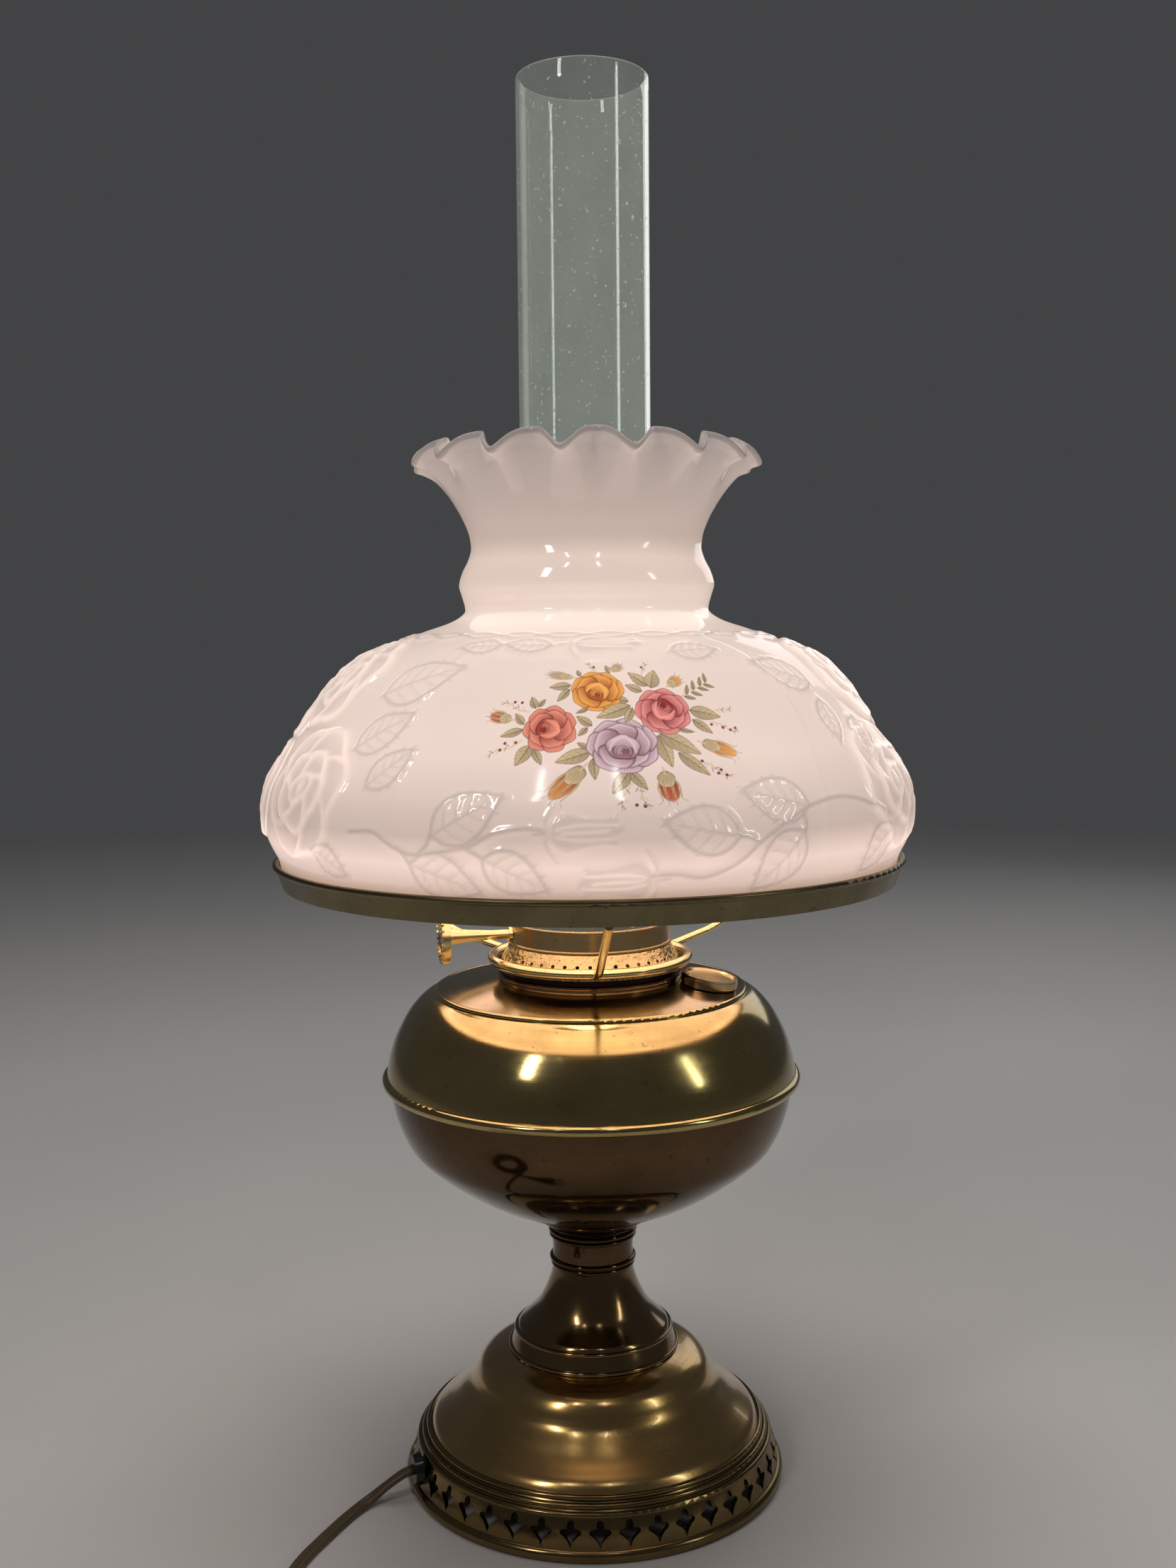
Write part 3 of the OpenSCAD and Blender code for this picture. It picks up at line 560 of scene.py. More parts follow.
TULIP_SIDE = [
    (0, 0), (0.03, 0.13), (0.12, 0.24), (0.26, 0.28), (0.5, 0.22), (0.76, 0.19), (0.98, 0.28), (0.93, 0.17)]
TULIP_TIPS = [(1.04, 0.08), (1, -0.04), (0.92, -0.12), (0.97, -0.24)]
TULIP_PARTINGS = [
    [(0.1, 0.05), (0.4, 0.1), (0.95, 0.08)], [(0.1, -0.05), (0.4, -0.1), (0.9, -0.1)],
    [(0.16, 0), (0.5, 0), (0.8, 0.01)]]
TULIP_FOOT = [(0.1, 0.25), (-0.03, 0.12), (-0.05, -0.05), (0.06, -0.22)]


def relief_tulip(fields, u, v, tip):
    """A moulded tulip bud on its side: four long petals, flared tips, and a calyx with two thin horns."""
    lines, body, glints = fields
    placed = partial(lay_out, (0, 0), tip)
    outline = TULIP_SIDE + TULIP_TIPS + [(x, -y) for x, y in TULIP_SIDE[5:0:-1]]
    depth = inside(u, v, curve(placed(outline + outline[:1]), 2))
    petals = 0.72 * unit(depth / 0.9)
    body += 0.3 * unit(depth / 2.2)
    gaps = np.zeros(u.shape)
    for parting in TULIP_PARTINGS:
        smooth_stroke(gaps, u, v, placed(parting), (0.5, 0.75, 0.6), 1.0)
    lines[:] = np.maximum(lines, petals * (1 - gaps))
    # Painted highlights along the partings between the petals and along the calyx's foot
    glints[:] = np.maximum(glints, gaps)
    smooth_stroke(glints, u, v, placed(TULIP_FOOT), 0.6, 1)
    for flip in (1, -1):
        horn = [(-0.04, 0.02 * flip), (-0.03, 0.2 * flip), (0.1, 0.42 * flip)]
        smooth_stroke(lines, u, v, placed(horn), (1.6, 1.0, 0.5), 0.8)
    smooth_stroke(lines, u, v, placed([(-0.22, 0), (-0.04, 0)]), (1.1, 2.6), 0.9)


# Rings of a moulded rose: part of its radius, petals, how wavy, and first direction in radians
ROSE_RINGS = ((0.21, 2, 0.16, 0.5), (0.55, 5, 0.07, 1.15), (0.94, 6, 0.06, 0.2))


def relief_rose(fields, u, v, radius):
    """A large moulded rose: hollow petals in rings round an oval heart, parted by raised swirling edges."""
    _, body, glints = fields
    near = np.hypot(u, v) < radius * 1.1
    x, y = u[near], v[near]
    reach, way = np.hypot(x, y) / radius, np.arctan2(y, x)
    ridge, rise = np.zeros(x.shape), np.zeros(x.shape)
    inner = 0.0
    for size, lobes, wave, turn in ROSE_RINGS:
        edge = size * (1 + wave * np.cos(lobes * (way - turn)))
        ridge = np.maximum(ridge, np.exp(-((reach - edge) * radius / 1.1) ** 2))
        if inner:
            t = unit((reach - inner) / (size - inner))
            rise = np.where((reach > inner) & (reach < edge), 0.9 * t ** 1.5, rise)
            spoke = way - turn - math.pi / lobes + 0.55 * (t - 0.5)
            gap = np.abs(np.sin(lobes * spoke / 2)) * 2 / lobes * reach * radius
            ridge = np.maximum(ridge, np.exp(-(gap / 1.15) ** 2) * (reach > inner) * (reach < edge))
        inner = size
    heart = np.exp(-(x / 0.1 / radius) ** 2 - (y / 0.14 / radius) ** 2)
    dome = np.sqrt(unit(1 - reach ** 2))
    edges = unit((1.06 - reach) * 8)
    body[near] = np.maximum(body[near], 1.2 * dome + 0.9 * ridge * edges + rise + 0.7 * heart)
    # Painted highlights on the ridges and the heart, brighter on one side of the rose
    sparkle = 0.45 + 0.55 * np.sin(way * 1.5 + 0.6) ** 2
    glints[near] = np.maximum(glints[near], np.maximum(ridge, heart) * sparkle)


# Places on a panel of the shade, as degrees from the panel's middle and millimetres up the glass
STEMS = [
    [(-45, 24.6), (-40, 25.4), (-37, 22), (-32.7, 18.4), (-28.5, 19.3), (-22.6, 22), (-18.9, 26.5),
     (-14, 28.4), (-11, 27.4)],
    [(-31, 19), (-29.6, 22), (-28.9, 26)], [(-35, 20.4), (-33.6, 17.6), (-32.8, 15)],
    [(-23.4, 21.4), (-21.8, 19.6), (-20.6, 18)],
    [(4.9, 12), (8.7, 12), (13, 10.4), (18.5, 15), (22.6, 22), (27.3, 28.2), (31.9, 32.8), (38.7, 35.2),
     (45.2, 33), (52, 28)],
    [(22.2, 21.4), (20.4, 23.6), (18.8, 24.3)], [(30.2, 31.2), (31, 27.6), (30.6, 24.2)]]
LEAVES = [
    ((-28.9, 25), (-18, 39.6)), ((-32.8, 15), (-21.6, 5.2)), ((-20.6, 17.9), (-11, 6.6)),
    ((31.9, 33), (20.2, 40)), ((18.8, 24.3), (6.8, 30)), ((30.6, 24.2), (21.8, 4.4)),
    ((-49.9, 56), (-39.6, 72)), ((-43, 41), (-36.2, 57)), ((-50, 80), (-33.6, 94)),
    ((49.2, 76), (47.4, 57)), ((59, 67), (53.4, 48)), ((-54, 17), (-47, 8)), ((54, 22), (46, 6)),
    ((50, 84), (36, 95))]
TULIPS = [((-10.4, 26.6), (0.6, 27.6)), ((5.2, 10.2), (-6.2, 9.2))]
ROSES = [
    ((-60, 38), 27), ((60, 38), 27), ((-71, 88), 25), ((71, 88), 25), ((-89, 34), 22), ((91, 34), 22),
    ((-89, 74), 19), ((91, 74), 19)]
BAND_LEAVES = [
    ((-26.5, 108.3), (-38, 106.5)), ((-13.4, 108), (-25.4, 109.4)), ((15.6, 102.5), (28, 104))]
BAND_TULIP = ((-8, 109.6), (9, 109))
PANEL_LINE = [
    (28, 117), (35, 104), (40, 90), (43, 76), (43.8, 62), (42.6, 47), (41.4, 31), (41.6, 17), (42.4, 3)]
# No leaf or tulip reaches further than this from its base
FIGURE_REACH = 45


def panel_relief(angle, s, radius):
    """One panel's moulding: fine raised lines, bodies of leaves and flowers, and glints, edges that get
    painted highlights.
    """
    fields = np.zeros((3,) + angle.shape)
    lines, body, _ = fields

    def local(place):
        """Coordinates in millimetres round a place, true to scale there."""
        return np.radians(angle - place[0]) * radius, s - place[1]

    def flat(place, others):
        """Other places in the coordinates round a place."""
        r = float(np.interp(place[1], s[:, 0], radius[:, 0]))
        return [(math.radians(a - place[0]) * r, b - place[1]) for a, b in others]

    for stem in STEMS:
        smooth_stroke(lines, *local(stem[0]), flat(stem[0], stem), 1.5, 1.0)
    for figure, places in ((relief_leaf, LEAVES + BAND_LEAVES), (relief_tulip, TULIPS + [BAND_TULIP])):
        for base, tip in places:
            u, v = local(base)
            near = np.hypot(u, v) < FIGURE_REACH
            here = fields[:, near]
            figure(here, u[near], v[near], flat(base, [tip])[0])
            fields[:, near] = here
    for centre, size in ROSES:
        relief_rose(fields, *local(centre), size)
    side = unit((np.abs(angle) - 50) / 22)
    side = side * unit((s - 4) / 16) * unit((108 - s) / 20)
    body += 1.2 * side * side * (3 - 2 * side)
    for flip in (1, -1):
        line = [(flip * a, b) for a, b in PANEL_LINE]
        smooth_stroke(body, *local(line[0]), flat(line[0], line), 1.6, 0.5)
    return fields


def twisted_band(angle, s):
    """Two vines that twist round each other along the top of the body."""
    ridges = np.zeros(angle.shape)
    for phase in (0, math.pi):
        middle = BAND_S + BAND_SWING * np.sin(np.radians(angle) * BAND_WAVES + phase)
        ridges = np.maximum(ridges, np.exp(-((s - middle) / 1.3) ** 2))
    return ridges


def shade_relief(direction, s, radius):
    """The moulding all round the shade, with the same panel in front and behind."""
    moulding = np.zeros((3,) + direction.shape)
    for middle in PANEL_DIRS:
        angle = (direction - middle + 180) % 360 - 180
        here = np.abs(angle[0]) <= 90.001
        panel = panel_relief(angle[:, here], s[:, here], radius[:, here])
        moulding[:, :, here] = np.maximum(moulding[:, :, here], panel)
    moulding[0] = np.maximum(moulding[0], twisted_band(direction, s) * 0.9)
    return moulding


def shade_profile(gap):
    """Profile of the smooth body and neck, evenly spaced."""
    return resample(curve(SHADE_BODY + SHADE_NECK, 8), gap)


def body_run(profile):
    """Distance up the glass from the top of the ring, for each point of the profile."""
    s = run_length(profile)
    return s - np.interp(BODY_FOOT_Z, profile[:, 1], s)


def glow_of(z):
    """How brightly the glass is lit from inside, by height."""
    return np.interp(z, *zip(*GLOWS))


def tint_of(z):
    """Colour of the light through the glass: warmer at the ring and at the neck's foot."""
    heights, *channels = zip(*TINTS)
    return np.stack([np.interp(z, heights, c) for c in channels] + [1.0 + 0 * z], -1)


def crimp_wave(direction):
    """How far each direction is from a dip (0) to a crest (1) of the crown."""
    return ((1 + np.cos(np.radians(CRIMPS * (direction - CRIMP_DIR)))) / 2) ** 0.85


def crown_bulge(wave):
    """How far the rim swells out and up between a dip and a crest."""
    return 4 * wave * (1 - wave) * np.array([1.5, 1.3])


def crown_points(direction, steps, offset):
    """The crimped crown, offset outwards from its outer face: radii, then heights."""
    wave = crimp_wave(direction)
    lines = [curve([SHADE_NECK[-1]] + line, steps) for line in (DIP, CREST)]
    dip, crest = (line - left_normals(line) * offset for line in lines)
    t = unit(np.linspace(-0.4, 1.2, len(dip))[:, None])
    ease = t * t * (3 - 2 * t)
    wave = (0.5 + (wave[None] - 0.5) * ease)[..., None]
    p = dip[:, None] * (1 - wave) + crest[:, None] * wave + crown_bulge(wave) * ease[..., None] ** 2
    return np.moveaxis(p, -1, 0)


def blurred(field, reach):
    """The field averaged over a square of places, wrapping round the shade."""
    for axis in (0, 1):
        field = sum(np.roll(field, k, axis) for k in range(-reach, reach + 1)) / (2 * reach + 1)
    return field


def crown_lip(direction, angle):
    """A row of the crown's round lip, from its outer edge (0 degrees) to its inner edge (180 degrees)."""
    wave = crimp_wave(direction)[:, None]
    half = SHADE_WALL * LIP_PART / 2
    a = math.radians(angle)
    ends = []
    for line in (DIP, CREST):
        p = curve([SHADE_NECK[-1]] + line, CROWN_STEPS)
        ahead = (p[-1] - p[-2]) / np.linalg.norm(p[-1] - p[-2])
        inward = np.array([-ahead[1], ahead[0]])
        ends.append(p[-1] + inward * half * (1 - math.cos(a)) + ahead * half * math.sin(a))
    p = ends[0][None] * (1 - wave) + ends[1][None] * wave + crown_bulge(wave)
    return p.T[:, None]


def shade_body(direction):
    """The moulded outside of the body and neck, and how much its moulding darkens the painted glow: most at
    its lines, where the glass is thicker, with painted shade in creases and on some flanks, and painted
    highlights at edges and glints.
    """
    profile = shade_profile(SHADE_GAP)
    normals = -left_normals(profile)
    turn, run = np.meshgrid(direction, body_run(profile))
    base_r = np.repeat(profile[:, 0:1], len(direction), 1)
    fields = shade_relief(turn, run, base_r)
    lines, body, glints = fields * unit(run / 3) * unit((MOULDING_TOP - run) / 8)
    height = blurred(np.minimum(1.1 * lines + 1.1 * body, MOULDING_MOST), 1)
    outside = np.stack([base_r + normals[:, 0:1] * height, profile[:, 1:2] + normals[:, 1:2] * height])
    slope = np.gradient(height, axis=0) / SHADE_GAP
    crease = blurred(height, 5) - height
    lines = unit(lines)
    halo = 4 * lines * (1 - lines)
    # Painted shade on flanks that fall away up the glass and in creases, painted highlights at the lines'
    # edges and the glints
    dark = (0.34 * lines - 0.1 * halo + 0.16 * np.clip(-slope, -1, 1)
            + 0.42 * np.clip(crease, -0.4, 0.8) * unit(body - 0.5) - 0.15 * glints)
    return outside, dark


def shade_glow(z, dark, outer_rows):
    """The painted light through each place: less at the moulding and the lip, a little more just below the
    lip, and more inside the body.
    """
    glow = glow_of(z)
    glow[:len(dark)] *= 1 - dark
    inner_side, lip_side = np.zeros(z.shape), np.zeros(z.shape)
    inner_side[outer_rows + LIP_ROWS:] = 1
    first_lip = outer_rows - 2
    lip_side[first_lip:first_lip + LIP_ROWS + 3] = 1
    lip_side[first_lip - 4:first_lip] = -0.25
    return glow * (1 + INNER_GAIN * inner_side * (z < INNER_TOP)) * (1 - LIP_LOSS * lip_side)


def add_shade(material):
    """The milk glass shade: moulded body, neck and crimped crown, with an inner wall."""
    direction = np.linspace(-180, 180, SHADE_COLUMNS, endpoint=False)
    outside, dark = shade_body(direction)
    crown = crown_points(direction, CROWN_STEPS, 0.0)[:, 1:]
    lip = [crown_lip(direction, a) for a in np.linspace(0, 180, LIP_ROWS + 2)[1:-1]]
    inner_crown = crown_points(direction, INNER_CROWN_STEPS, -SHADE_WALL * LIP_PART)[:, :0:-1]
    inner = shade_profile(INNER_GAP)
    inner = inner + left_normals(inner) * SHADE_WALL
    inner_body = np.repeat(inner[::-1].T[:, :, None], SHADE_COLUMNS, 2)
    r, z = np.concatenate([outside, crown, *lip, inner_crown, inner_body], 1)
    z = np.maximum(z, SHADE_BODY[0][1])
    points = around(r, z, np.radians(direction)[None])
    faces = grid_faces(len(r), SHADE_COLUMNS, wrap_rows=True)
    piece = new_piece("milk_glass_shade", points, faces, material)
    set_values(piece, "glow", shade_glow(z, dark, outside.shape[1] + crown.shape[1]))
    set_colours(piece, "tint", tint_of(z))
    set_colours(piece, "paint", np.zeros(z.shape + (4,)))
    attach(piece, "shade")
    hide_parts("shade")


# ---- Painted bouquet ----

# The bouquet's middle: direction, millimetres up the glass, and the shade's radius there
BOUQUET_DIR, BOUQUET_S, BOUQUET_R = -85.6, 65.0, 114.5
# Thickness of the enamel, the thinnest cover that a stroke lays, and the cover under which glass is bare
ENAMEL, THINNEST, BARE = 0.06, 0.04, 0.03
# Each paint's light and dark colour
PAINTS = {
    "orange": ((1, 0.55, 0.15), (0.45, 0.12, 0.05)),
    "coral": ((0.92, 0.40, 0.31), (0.36, 0.07, 0.06)),
    "lavender": ((0.76, 0.66, 0.80), (0.32, 0.19, 0.24)),
    "pink": ((0.92, 0.40, 0.41), (0.32, 0.05, 0.06)),
    "gold": ((0.84, 0.40, 0.13), (0.36, 0.12, 0.05)),
    "red": ((0.70, 0.20, 0.11), (0.27, 0.07, 0.04)),
    "pale": ((0.58, 0.48, 0.46), (0.33, 0.26, 0.24)),
    "leaf": ((0.74, 0.66, 0.42), (0.38, 0.36, 0.26)),
    "line": ((0.14, 0.085, 0.07), (0.13, 0.08, 0.06)),
    "berry": ((0.32, 0.09, 0.09), (0.2, 0.05, 0.05)),
}
PAINTS = {name: np.array(pair) for name, pair in PAINTS.items()}
# Places in the bouquet: millimetres to the right of its middle and up the glass
PAINTED_ROSES = [
    ((-5, 17.7), (11.2, 9), 4.3, "orange"), ((-22.2, 1.4), (9.6, 9.8), 2.9, "coral"),
    ((19.2, 8.4), (11, 9.8), 1, "pink"), ((3, -5.6), (13.1, 11.2), 4.6, "lavender")]
PAINTED_LEAVES = [
    ((-15.4, 20.1), (-24, 19.2), 0.43), ((-15.8, 18.4), (-20.4, 12.9), 0.44),
    ((-11.7, 24.4), (-13.3, 27.5), 0.6), ((0.4, 25.8), (-1.2, 30), 0.55),
    ((12.5, 17), (6, 20.1), 0.5), ((15.5, 19.4), (7.9, 26.1), 0.48),
    ((16.1, 18.4), (19.3, 27.1), 0.66), ((6.6, 12.7), (0.4, 14.3), 0.5),
    ((-28.2, 10), (-30.3, 15), 0.6), ((-27.3, 10.6), (-24.8, 14), 0.5),
    ((-31.8, 3.2), (-35.6, 7.9), 0.5), ((-31.8, 1.2), (-39.7, -1.8), 0.42),
    ((-28.5, -5.2), (-32.8, -13.6), 0.54), ((-27.3, -6.8), (-24.1, -13.2), 0.42),
    ((-7.3, 2.6), (-13, 6.7), 0.48), ((-9, 1.9), (-12.3, -1.6), 0.5),
    ((-7.9, -7.9), (-19.7, -12.2), 0.46), ((-8.7, -6.8), (-12.6, -4.2), 0.5),
    ((-7.3, -10.5), (-6.7, -19.1), 0.4), ((4.2, -15.9), (-1.5, -24.5), 0.46),
    ((4.5, -15.9), (9.6, -23.3), 0.4), ((15.5, -1.5), (18.7, -14.8), 0.4),
    ((16.1, -0.8), (29.6, -9.9), 0.4), ((21.4, -8.9), (30.9, -18.4), 0.34),
    ((29.3, 8.6), (41.4, 5.3), 0.46), ((29.6, 4.6), (36.1, -1.6), 0.42), ((23.1, 0.6), (29.3, -0.8), 0.3),
    ((-8.4, 10), (-13.2, 7.9), 0.36)]
LEAVES_OVER = [((7.2, 11), (-5.8, 5.9), 0.4), ((7.8, 10), (4.5, 3.6), 0.48)]
PAINTED_BUDS = [
    ((-36.8, 5.3), (-45.9, 7.3), 0.5, "red"), ((-14.9, 23.8), (-25.9, 25.8), 0.3, "pale"),
    ((1, 27.1), (6.3, 30.1), 0.6, "pale"), ((23.7, 19.4), (30.2, 23.4), 0.58, "orange"),
    ((31.1, -5.2), (43.2, -10.5), 0.42, "orange"), ((-10.5, -14.2), (-21.1, -26.7), 0.4, "gold"),
    ((15.5, -16.3), (17.2, -28.7), 0.52, "red")]
SPRIGS = [
    ((26.7, 13.3), (42.3, 21.7), 5), ((13.7, 25.1), (16.6, 31.2), 1.3),
    ((-5.2, 26.8), (-9, 31.4), 1.3), ((-30.6, 8.6), (-41.8, 13), 1.5),
    ((-31.5, -3.1), (-43.6, -9.9), 1.5), ((39.7, 7.9), (47.3, 8.6), 1.4), ((36.7, 3.2), (46.6, -1.6), 1.4),
    ((28.4, -12.6), (38.5, -19.8), 1.8), ((4.5, -16.6), (0.7, -30.7), 1.8),
    ((4.8, -17.6), (9.6, -30.4), 1.6)]
BERRIES = [
    (-6.1, 29.1), (14.3, 28.8), (-36.5, 12.7), (-33.7, 12.5), (-37.5, -4.5), (-33.7, -4.2), (-38.8, -7.3),
    (36.6, 2.2), (40.8, 0.8), (43.5, -0.3), (45.7, 0.4), (29.2, -12.6), (35.1, -16.3), (33.9, -17.6),
    (36.7, -18.4), (5.7, -28.7), (8.3, -29.2)]


class Patch:
    """A fine grid of paint on the front of the glass."""

    def __init__(self, half_width, low, high, step):
        across, up = np.arange(-half_width, half_width, step), np.arange(low, high, step)
        self.x, self.y = np.meshgrid(across, up)
        self.paint = np.zeros(self.x.shape + (4,))

    def lay(self, near, cover, colour):
        """Lays a colour over the places that near picks, as thickly as cover says."""
        cover = unit(cover)[:, None]
        coat = np.ones((len(cover), 4))
        coat[:, :3] = colour
        self.paint[near] = self.paint[near] * (1 - cover) + coat * cover

    def stroke(self, points, width, colour, strength=1.0):
        """A line of one colour, which is an array or the name of a paint."""
        cover = np.zeros(self.x.shape)
        smooth_stroke(cover, self.x, self.y, points, width, 1.0)
        near = cover > THINNEST
        self.lay(near, cover[near] * strength, PAINTS[colour][0] if isinstance(colour, str) else colour)

    def petal(self, centre, facing, size, light, dark, root=1.5):
        """One petal: pale at its lip, deep at its root, with a thin dark edge and faint streaks."""
        near = np.hypot(self.x - centre[0], self.y - centre[1]) < 1.25 * max(size)
        dx, dy = self.x[near] - centre[0], self.y[near] - centre[1]
        along = dx * math.cos(facing) + dy * math.sin(facing)
        across = dy * math.cos(facing) - dx * math.sin(facing)
        q = np.hypot(along / size[0], across / size[1])
        q = q + 0.035 * np.sin(5 * np.arctan2(across, along) + facing * 3)
        tone = unit(0.52 + 0.56 * along / size[0]) ** root
        tone = tone * (1 - 0.22 * np.sin(across * 3.1 + 0.8 * along) ** 2)
        colour = dark + (light - dark) * tone[:, None]
        edge = np.exp(-((q - 0.98) / 0.06) ** 2)
        lip = np.exp(-((q - 0.82) / 0.09) ** 2) * (along > 0)
        colour = colour * (1 - 0.68 * edge[:, None]) + 0.12 * lip[:, None] * light
        self.lay(near, (1.03 - q) * min(size) / 0.3, colour)

    def rose(self, centre, radii, turn, paint):
        """An open rose: an outer ring of petals, a cup in front of it, and a coiled dark heart."""
        light, dark = PAINTS[paint]
        mid = light * 0.72 + dark * 0.28
        a, b = radii
        for count, reach, length, width, first in ((7, 0.60, 0.42, 0.44, 0.3), (5, 0.40, 0.42, 0.5, 0.9)):
            for i in range(count):
                t = turn + first + i * 2 * math.pi / count
                spot = (centre[0] + reach * a * math.cos(t), centre[1] + reach * b * math.sin(t))
                self.petal(spot, t, (length * min(a, b), width * max(a, b)), light, dark)
        face = np.array([math.cos(turn), math.sin(turn)])
        cup = np.array(centre) + face * 0.06 * b
        self.petal(cup, turn + math.pi, (0.46 * b, 0.46 * a), light, dark, 0.9)
        heart = cup + face * 0.16 * b
        self.petal(heart, turn, (0.26 * b, 0.28 * a), dark * 1.3, dark * 0.5)
        for k, (r, sweep) in enumerate(((0.24, 3.6), (0.16, 3.2), (0.09, 3.0))):
            middle = turn + math.pi + k * 0.7
            arc = [tuple(heart + r * b * np.array([math.cos(q), math.sin(q)]))
                   for q in np.linspace(middle - sweep / 2, middle + sweep / 2, 7)]
            self.stroke(arc, (0.2, 0.5, 0.2), mid, 0.85)
        for flip in (1, -1):
            side = np.array([-face[1], face[0]]) * flip
            start, end = heart + side * 0.34 * a, cup - face * 0.42 * b - side * 0.05 * a
            bend = (start + end) / 2 + side * 0.1 * a - face * 0.05 * b
            self.stroke([start, bend, end], (0.35, 0.8, 0.25), np.minimum(light * 1.15, 1.1), 0.9)

    def leaf(self, base, tip, fat):
        """A painted leaf: olive, one half deeper, with a dark outline, midrib and side veins."""
        placed = partial(lay_out, base, tip)
        half = [(x, y * fat / 0.58) for x, y in LEAF]
        outline = curve(placed(half + [(x, -y) for x, y in half[-2::-1]]), 3)
        size = math.dist(base, tip)
        near = np.hypot(self.x - (base[0] + tip[0]) / 2, self.y - (base[1] + tip[1]) / 2) < size * 0.62
        u, v = self.x[near], self.y[near]
        depth = inside(u, v, outline)
        d = (np.asarray(tip) - np.asarray(base)) / size
        along = ((u - base[0]) * d[0] + (v - base[1]) * d[1]) / size
        side = np.sign((v - base[1]) * d[0] - (u - base[0]) * d[1])
        light, dark = PAINTS["leaf"]
        tone = unit(0.25 + 0.6 * along + 0.16 * side * np.sign(d[0] + 0.1))
        colour = dark + (light - dark) * tone[:, None]
        colour = colour * (1 - 0.6 * np.exp(-(depth / 0.26) ** 2))[:, None]
        self.lay(near, 0.5 + depth / 0.3, colour)
        self.stroke(placed([(0.02, 0), (0.5, 0.02), (0.95, 0)]), (0.26, 0.14), "line", 0.8)
        for flip in (1, -1):
            for x in (0.25, 0.45, 0.62):
                self.stroke(placed([(x, 0), (x + 0.16, flip * fat * 0.34)]), 0.12, "line", 0.5)

    def bud(self, base, tip, fat, paint):
        """A closed bud: coloured petals in a green cup whose thin points flare past them."""
        placed = partial(lay_out, base, tip)
        light, dark = PAINTS[paint]
        facing = math.atan2(tip[1] - base[1], tip[0] - base[0])
        size = math.dist(base, tip)
        at = placed([(0.52, 0), (0.24, 0)])
        for flip in (1, -1):
            spot = placed([(0.5, 0.13 * fat * flip)])[0]
            self.petal(spot, facing, (0.42 * size, 0.36 * fat * size), light, dark)
        self.petal(at[0], facing, (0.46 * size, 0.24 * fat * size), light, dark, 0.8)
        self.petal(at[1], facing, (0.26 * size, 0.46 * fat * size), *PAINTS["leaf"])
        for bend, reach in ((0.5, 0.86), (-0.5, 0.86), (0.16, 1.0), (-0.22, 0.94)):
            points = [(0.1, bend * fat * 0.4), (0.45, bend * fat * 1.05), (reach, bend * fat * 0.95)]
            self.stroke(placed(points), (0.55, 0.5, 0.14), "leaf", 0.9)
            points = points + [(reach + 0.1, bend * fat * 1.5)]
            self.stroke(placed(points), (0.14, 0.12, 0.1), "line", 0.7)
        self.stroke(placed([(-0.12, 0), (0.08, 0)]), 0.5, "leaf")

    def sprig(self, base, tip, size):
        """A thin stem with small leaflets or tendrils on both sides."""
        placed = partial(lay_out, base, tip)
        self.stroke(placed([(0, 0), (0.35, 0.06), (0.7, -0.03), (1, 0.03)]), (0.3, 0.14), "leaf")
        for k, x in enumerate((0.18, 0.4, 0.62, 0.82)):
            for flip in (1, -1):
                root = placed([(x + 0.04 * flip, 0)])[0]
                angle = math.atan2(tip[1] - base[1], tip[0] - base[0]) + flip * (0.75 + 0.1 * (k % 2))
                end = (root[0] + size * math.cos(angle), root[1] + size * math.sin(angle))
                if size > 3:
                    self.leaf(root, end, 0.36)
                else:
                    self.stroke([root, end], (0.22, 0.12), "line" if k % 2 else "leaf", 0.8)


def paint_bouquet():
    """The whole bouquet, from the thin sprigs behind to the leaf that lies over the lavender rose."""
    patch = Patch(half_width=49.0, low=-33.0, high=33.6, step=0.24)
    for base, tip, size in SPRIGS:
        patch.sprig(base, tip, size)
    for base, tip, fat in PAINTED_LEAVES:
        patch.leaf(base, tip, fat)
    for base, tip, fat, paint in PAINTED_BUDS:
        patch.bud(base, tip, fat, paint)
    for centre, radii, turn, paint in PAINTED_ROSES:
        patch.rose(centre, radii, turn, paint)
    for base, tip, fat in LEAVES_OVER:
        patch.leaf(base, tip, fat)
    for spot in BERRIES:
        patch.petal(spot, 1.2, (0.75, 0.7), *PAINTS["berry"])
    return patch


def add_bouquet(material):
    """The painted bouquet: a thin layer of enamel on the front of the shade, only where there is paint."""
    patch = paint_bouquet()
    profile = shade_profile(SHADE_GAP)
    lifted = profile - left_normals(profile) * ENAMEL
    s, up = body_run(profile), BOUQUET_S + patch.y
    r, z = np.interp(up, s, lifted[:, 0]), np.interp(up, s, lifted[:, 1])
    points = around(r, z, np.radians(BOUQUET_DIR) + patch.x / BOUQUET_R)
    faces = grid_faces(*z.shape, wrap_columns=False)
    alpha = patch.paint[..., 3].reshape(-1)
    faces = faces[alpha[faces].max(1) > BARE]
    used, index = np.unique(faces, return_inverse=True)
    piece = new_piece("painted_bouquet", points[used], index.reshape(faces.shape), material)
    paint = patch.paint.reshape(-1, 4)[used]
    paint[:, :3] = paint[:, :3] / np.maximum(paint[:, 3:], BARE)
    set_colours(piece, "paint", paint)
    set_colours(piece, "tint", tint_of(points[used, 2]))
    set_values(piece, "glow", glow_of(points[used, 2]))
    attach(piece, "shade")


# ---- Chimney ----


CHIMNEY_FOOT_Z, CHIMNEY_TOP_Z, CHIMNEY_WALL = 237.3, 582.0, 1.5
CHIMNEY_FOOT_R, CHIMNEY_R, CHIMNEY_COLUMNS = 32.3, 27.0, 160
CHIMNEY_SHOULDER = [(31.9, 249.3), (29.7, 254.3), (27.8, 260.3), (CHIMNEY_R, 267.3)]


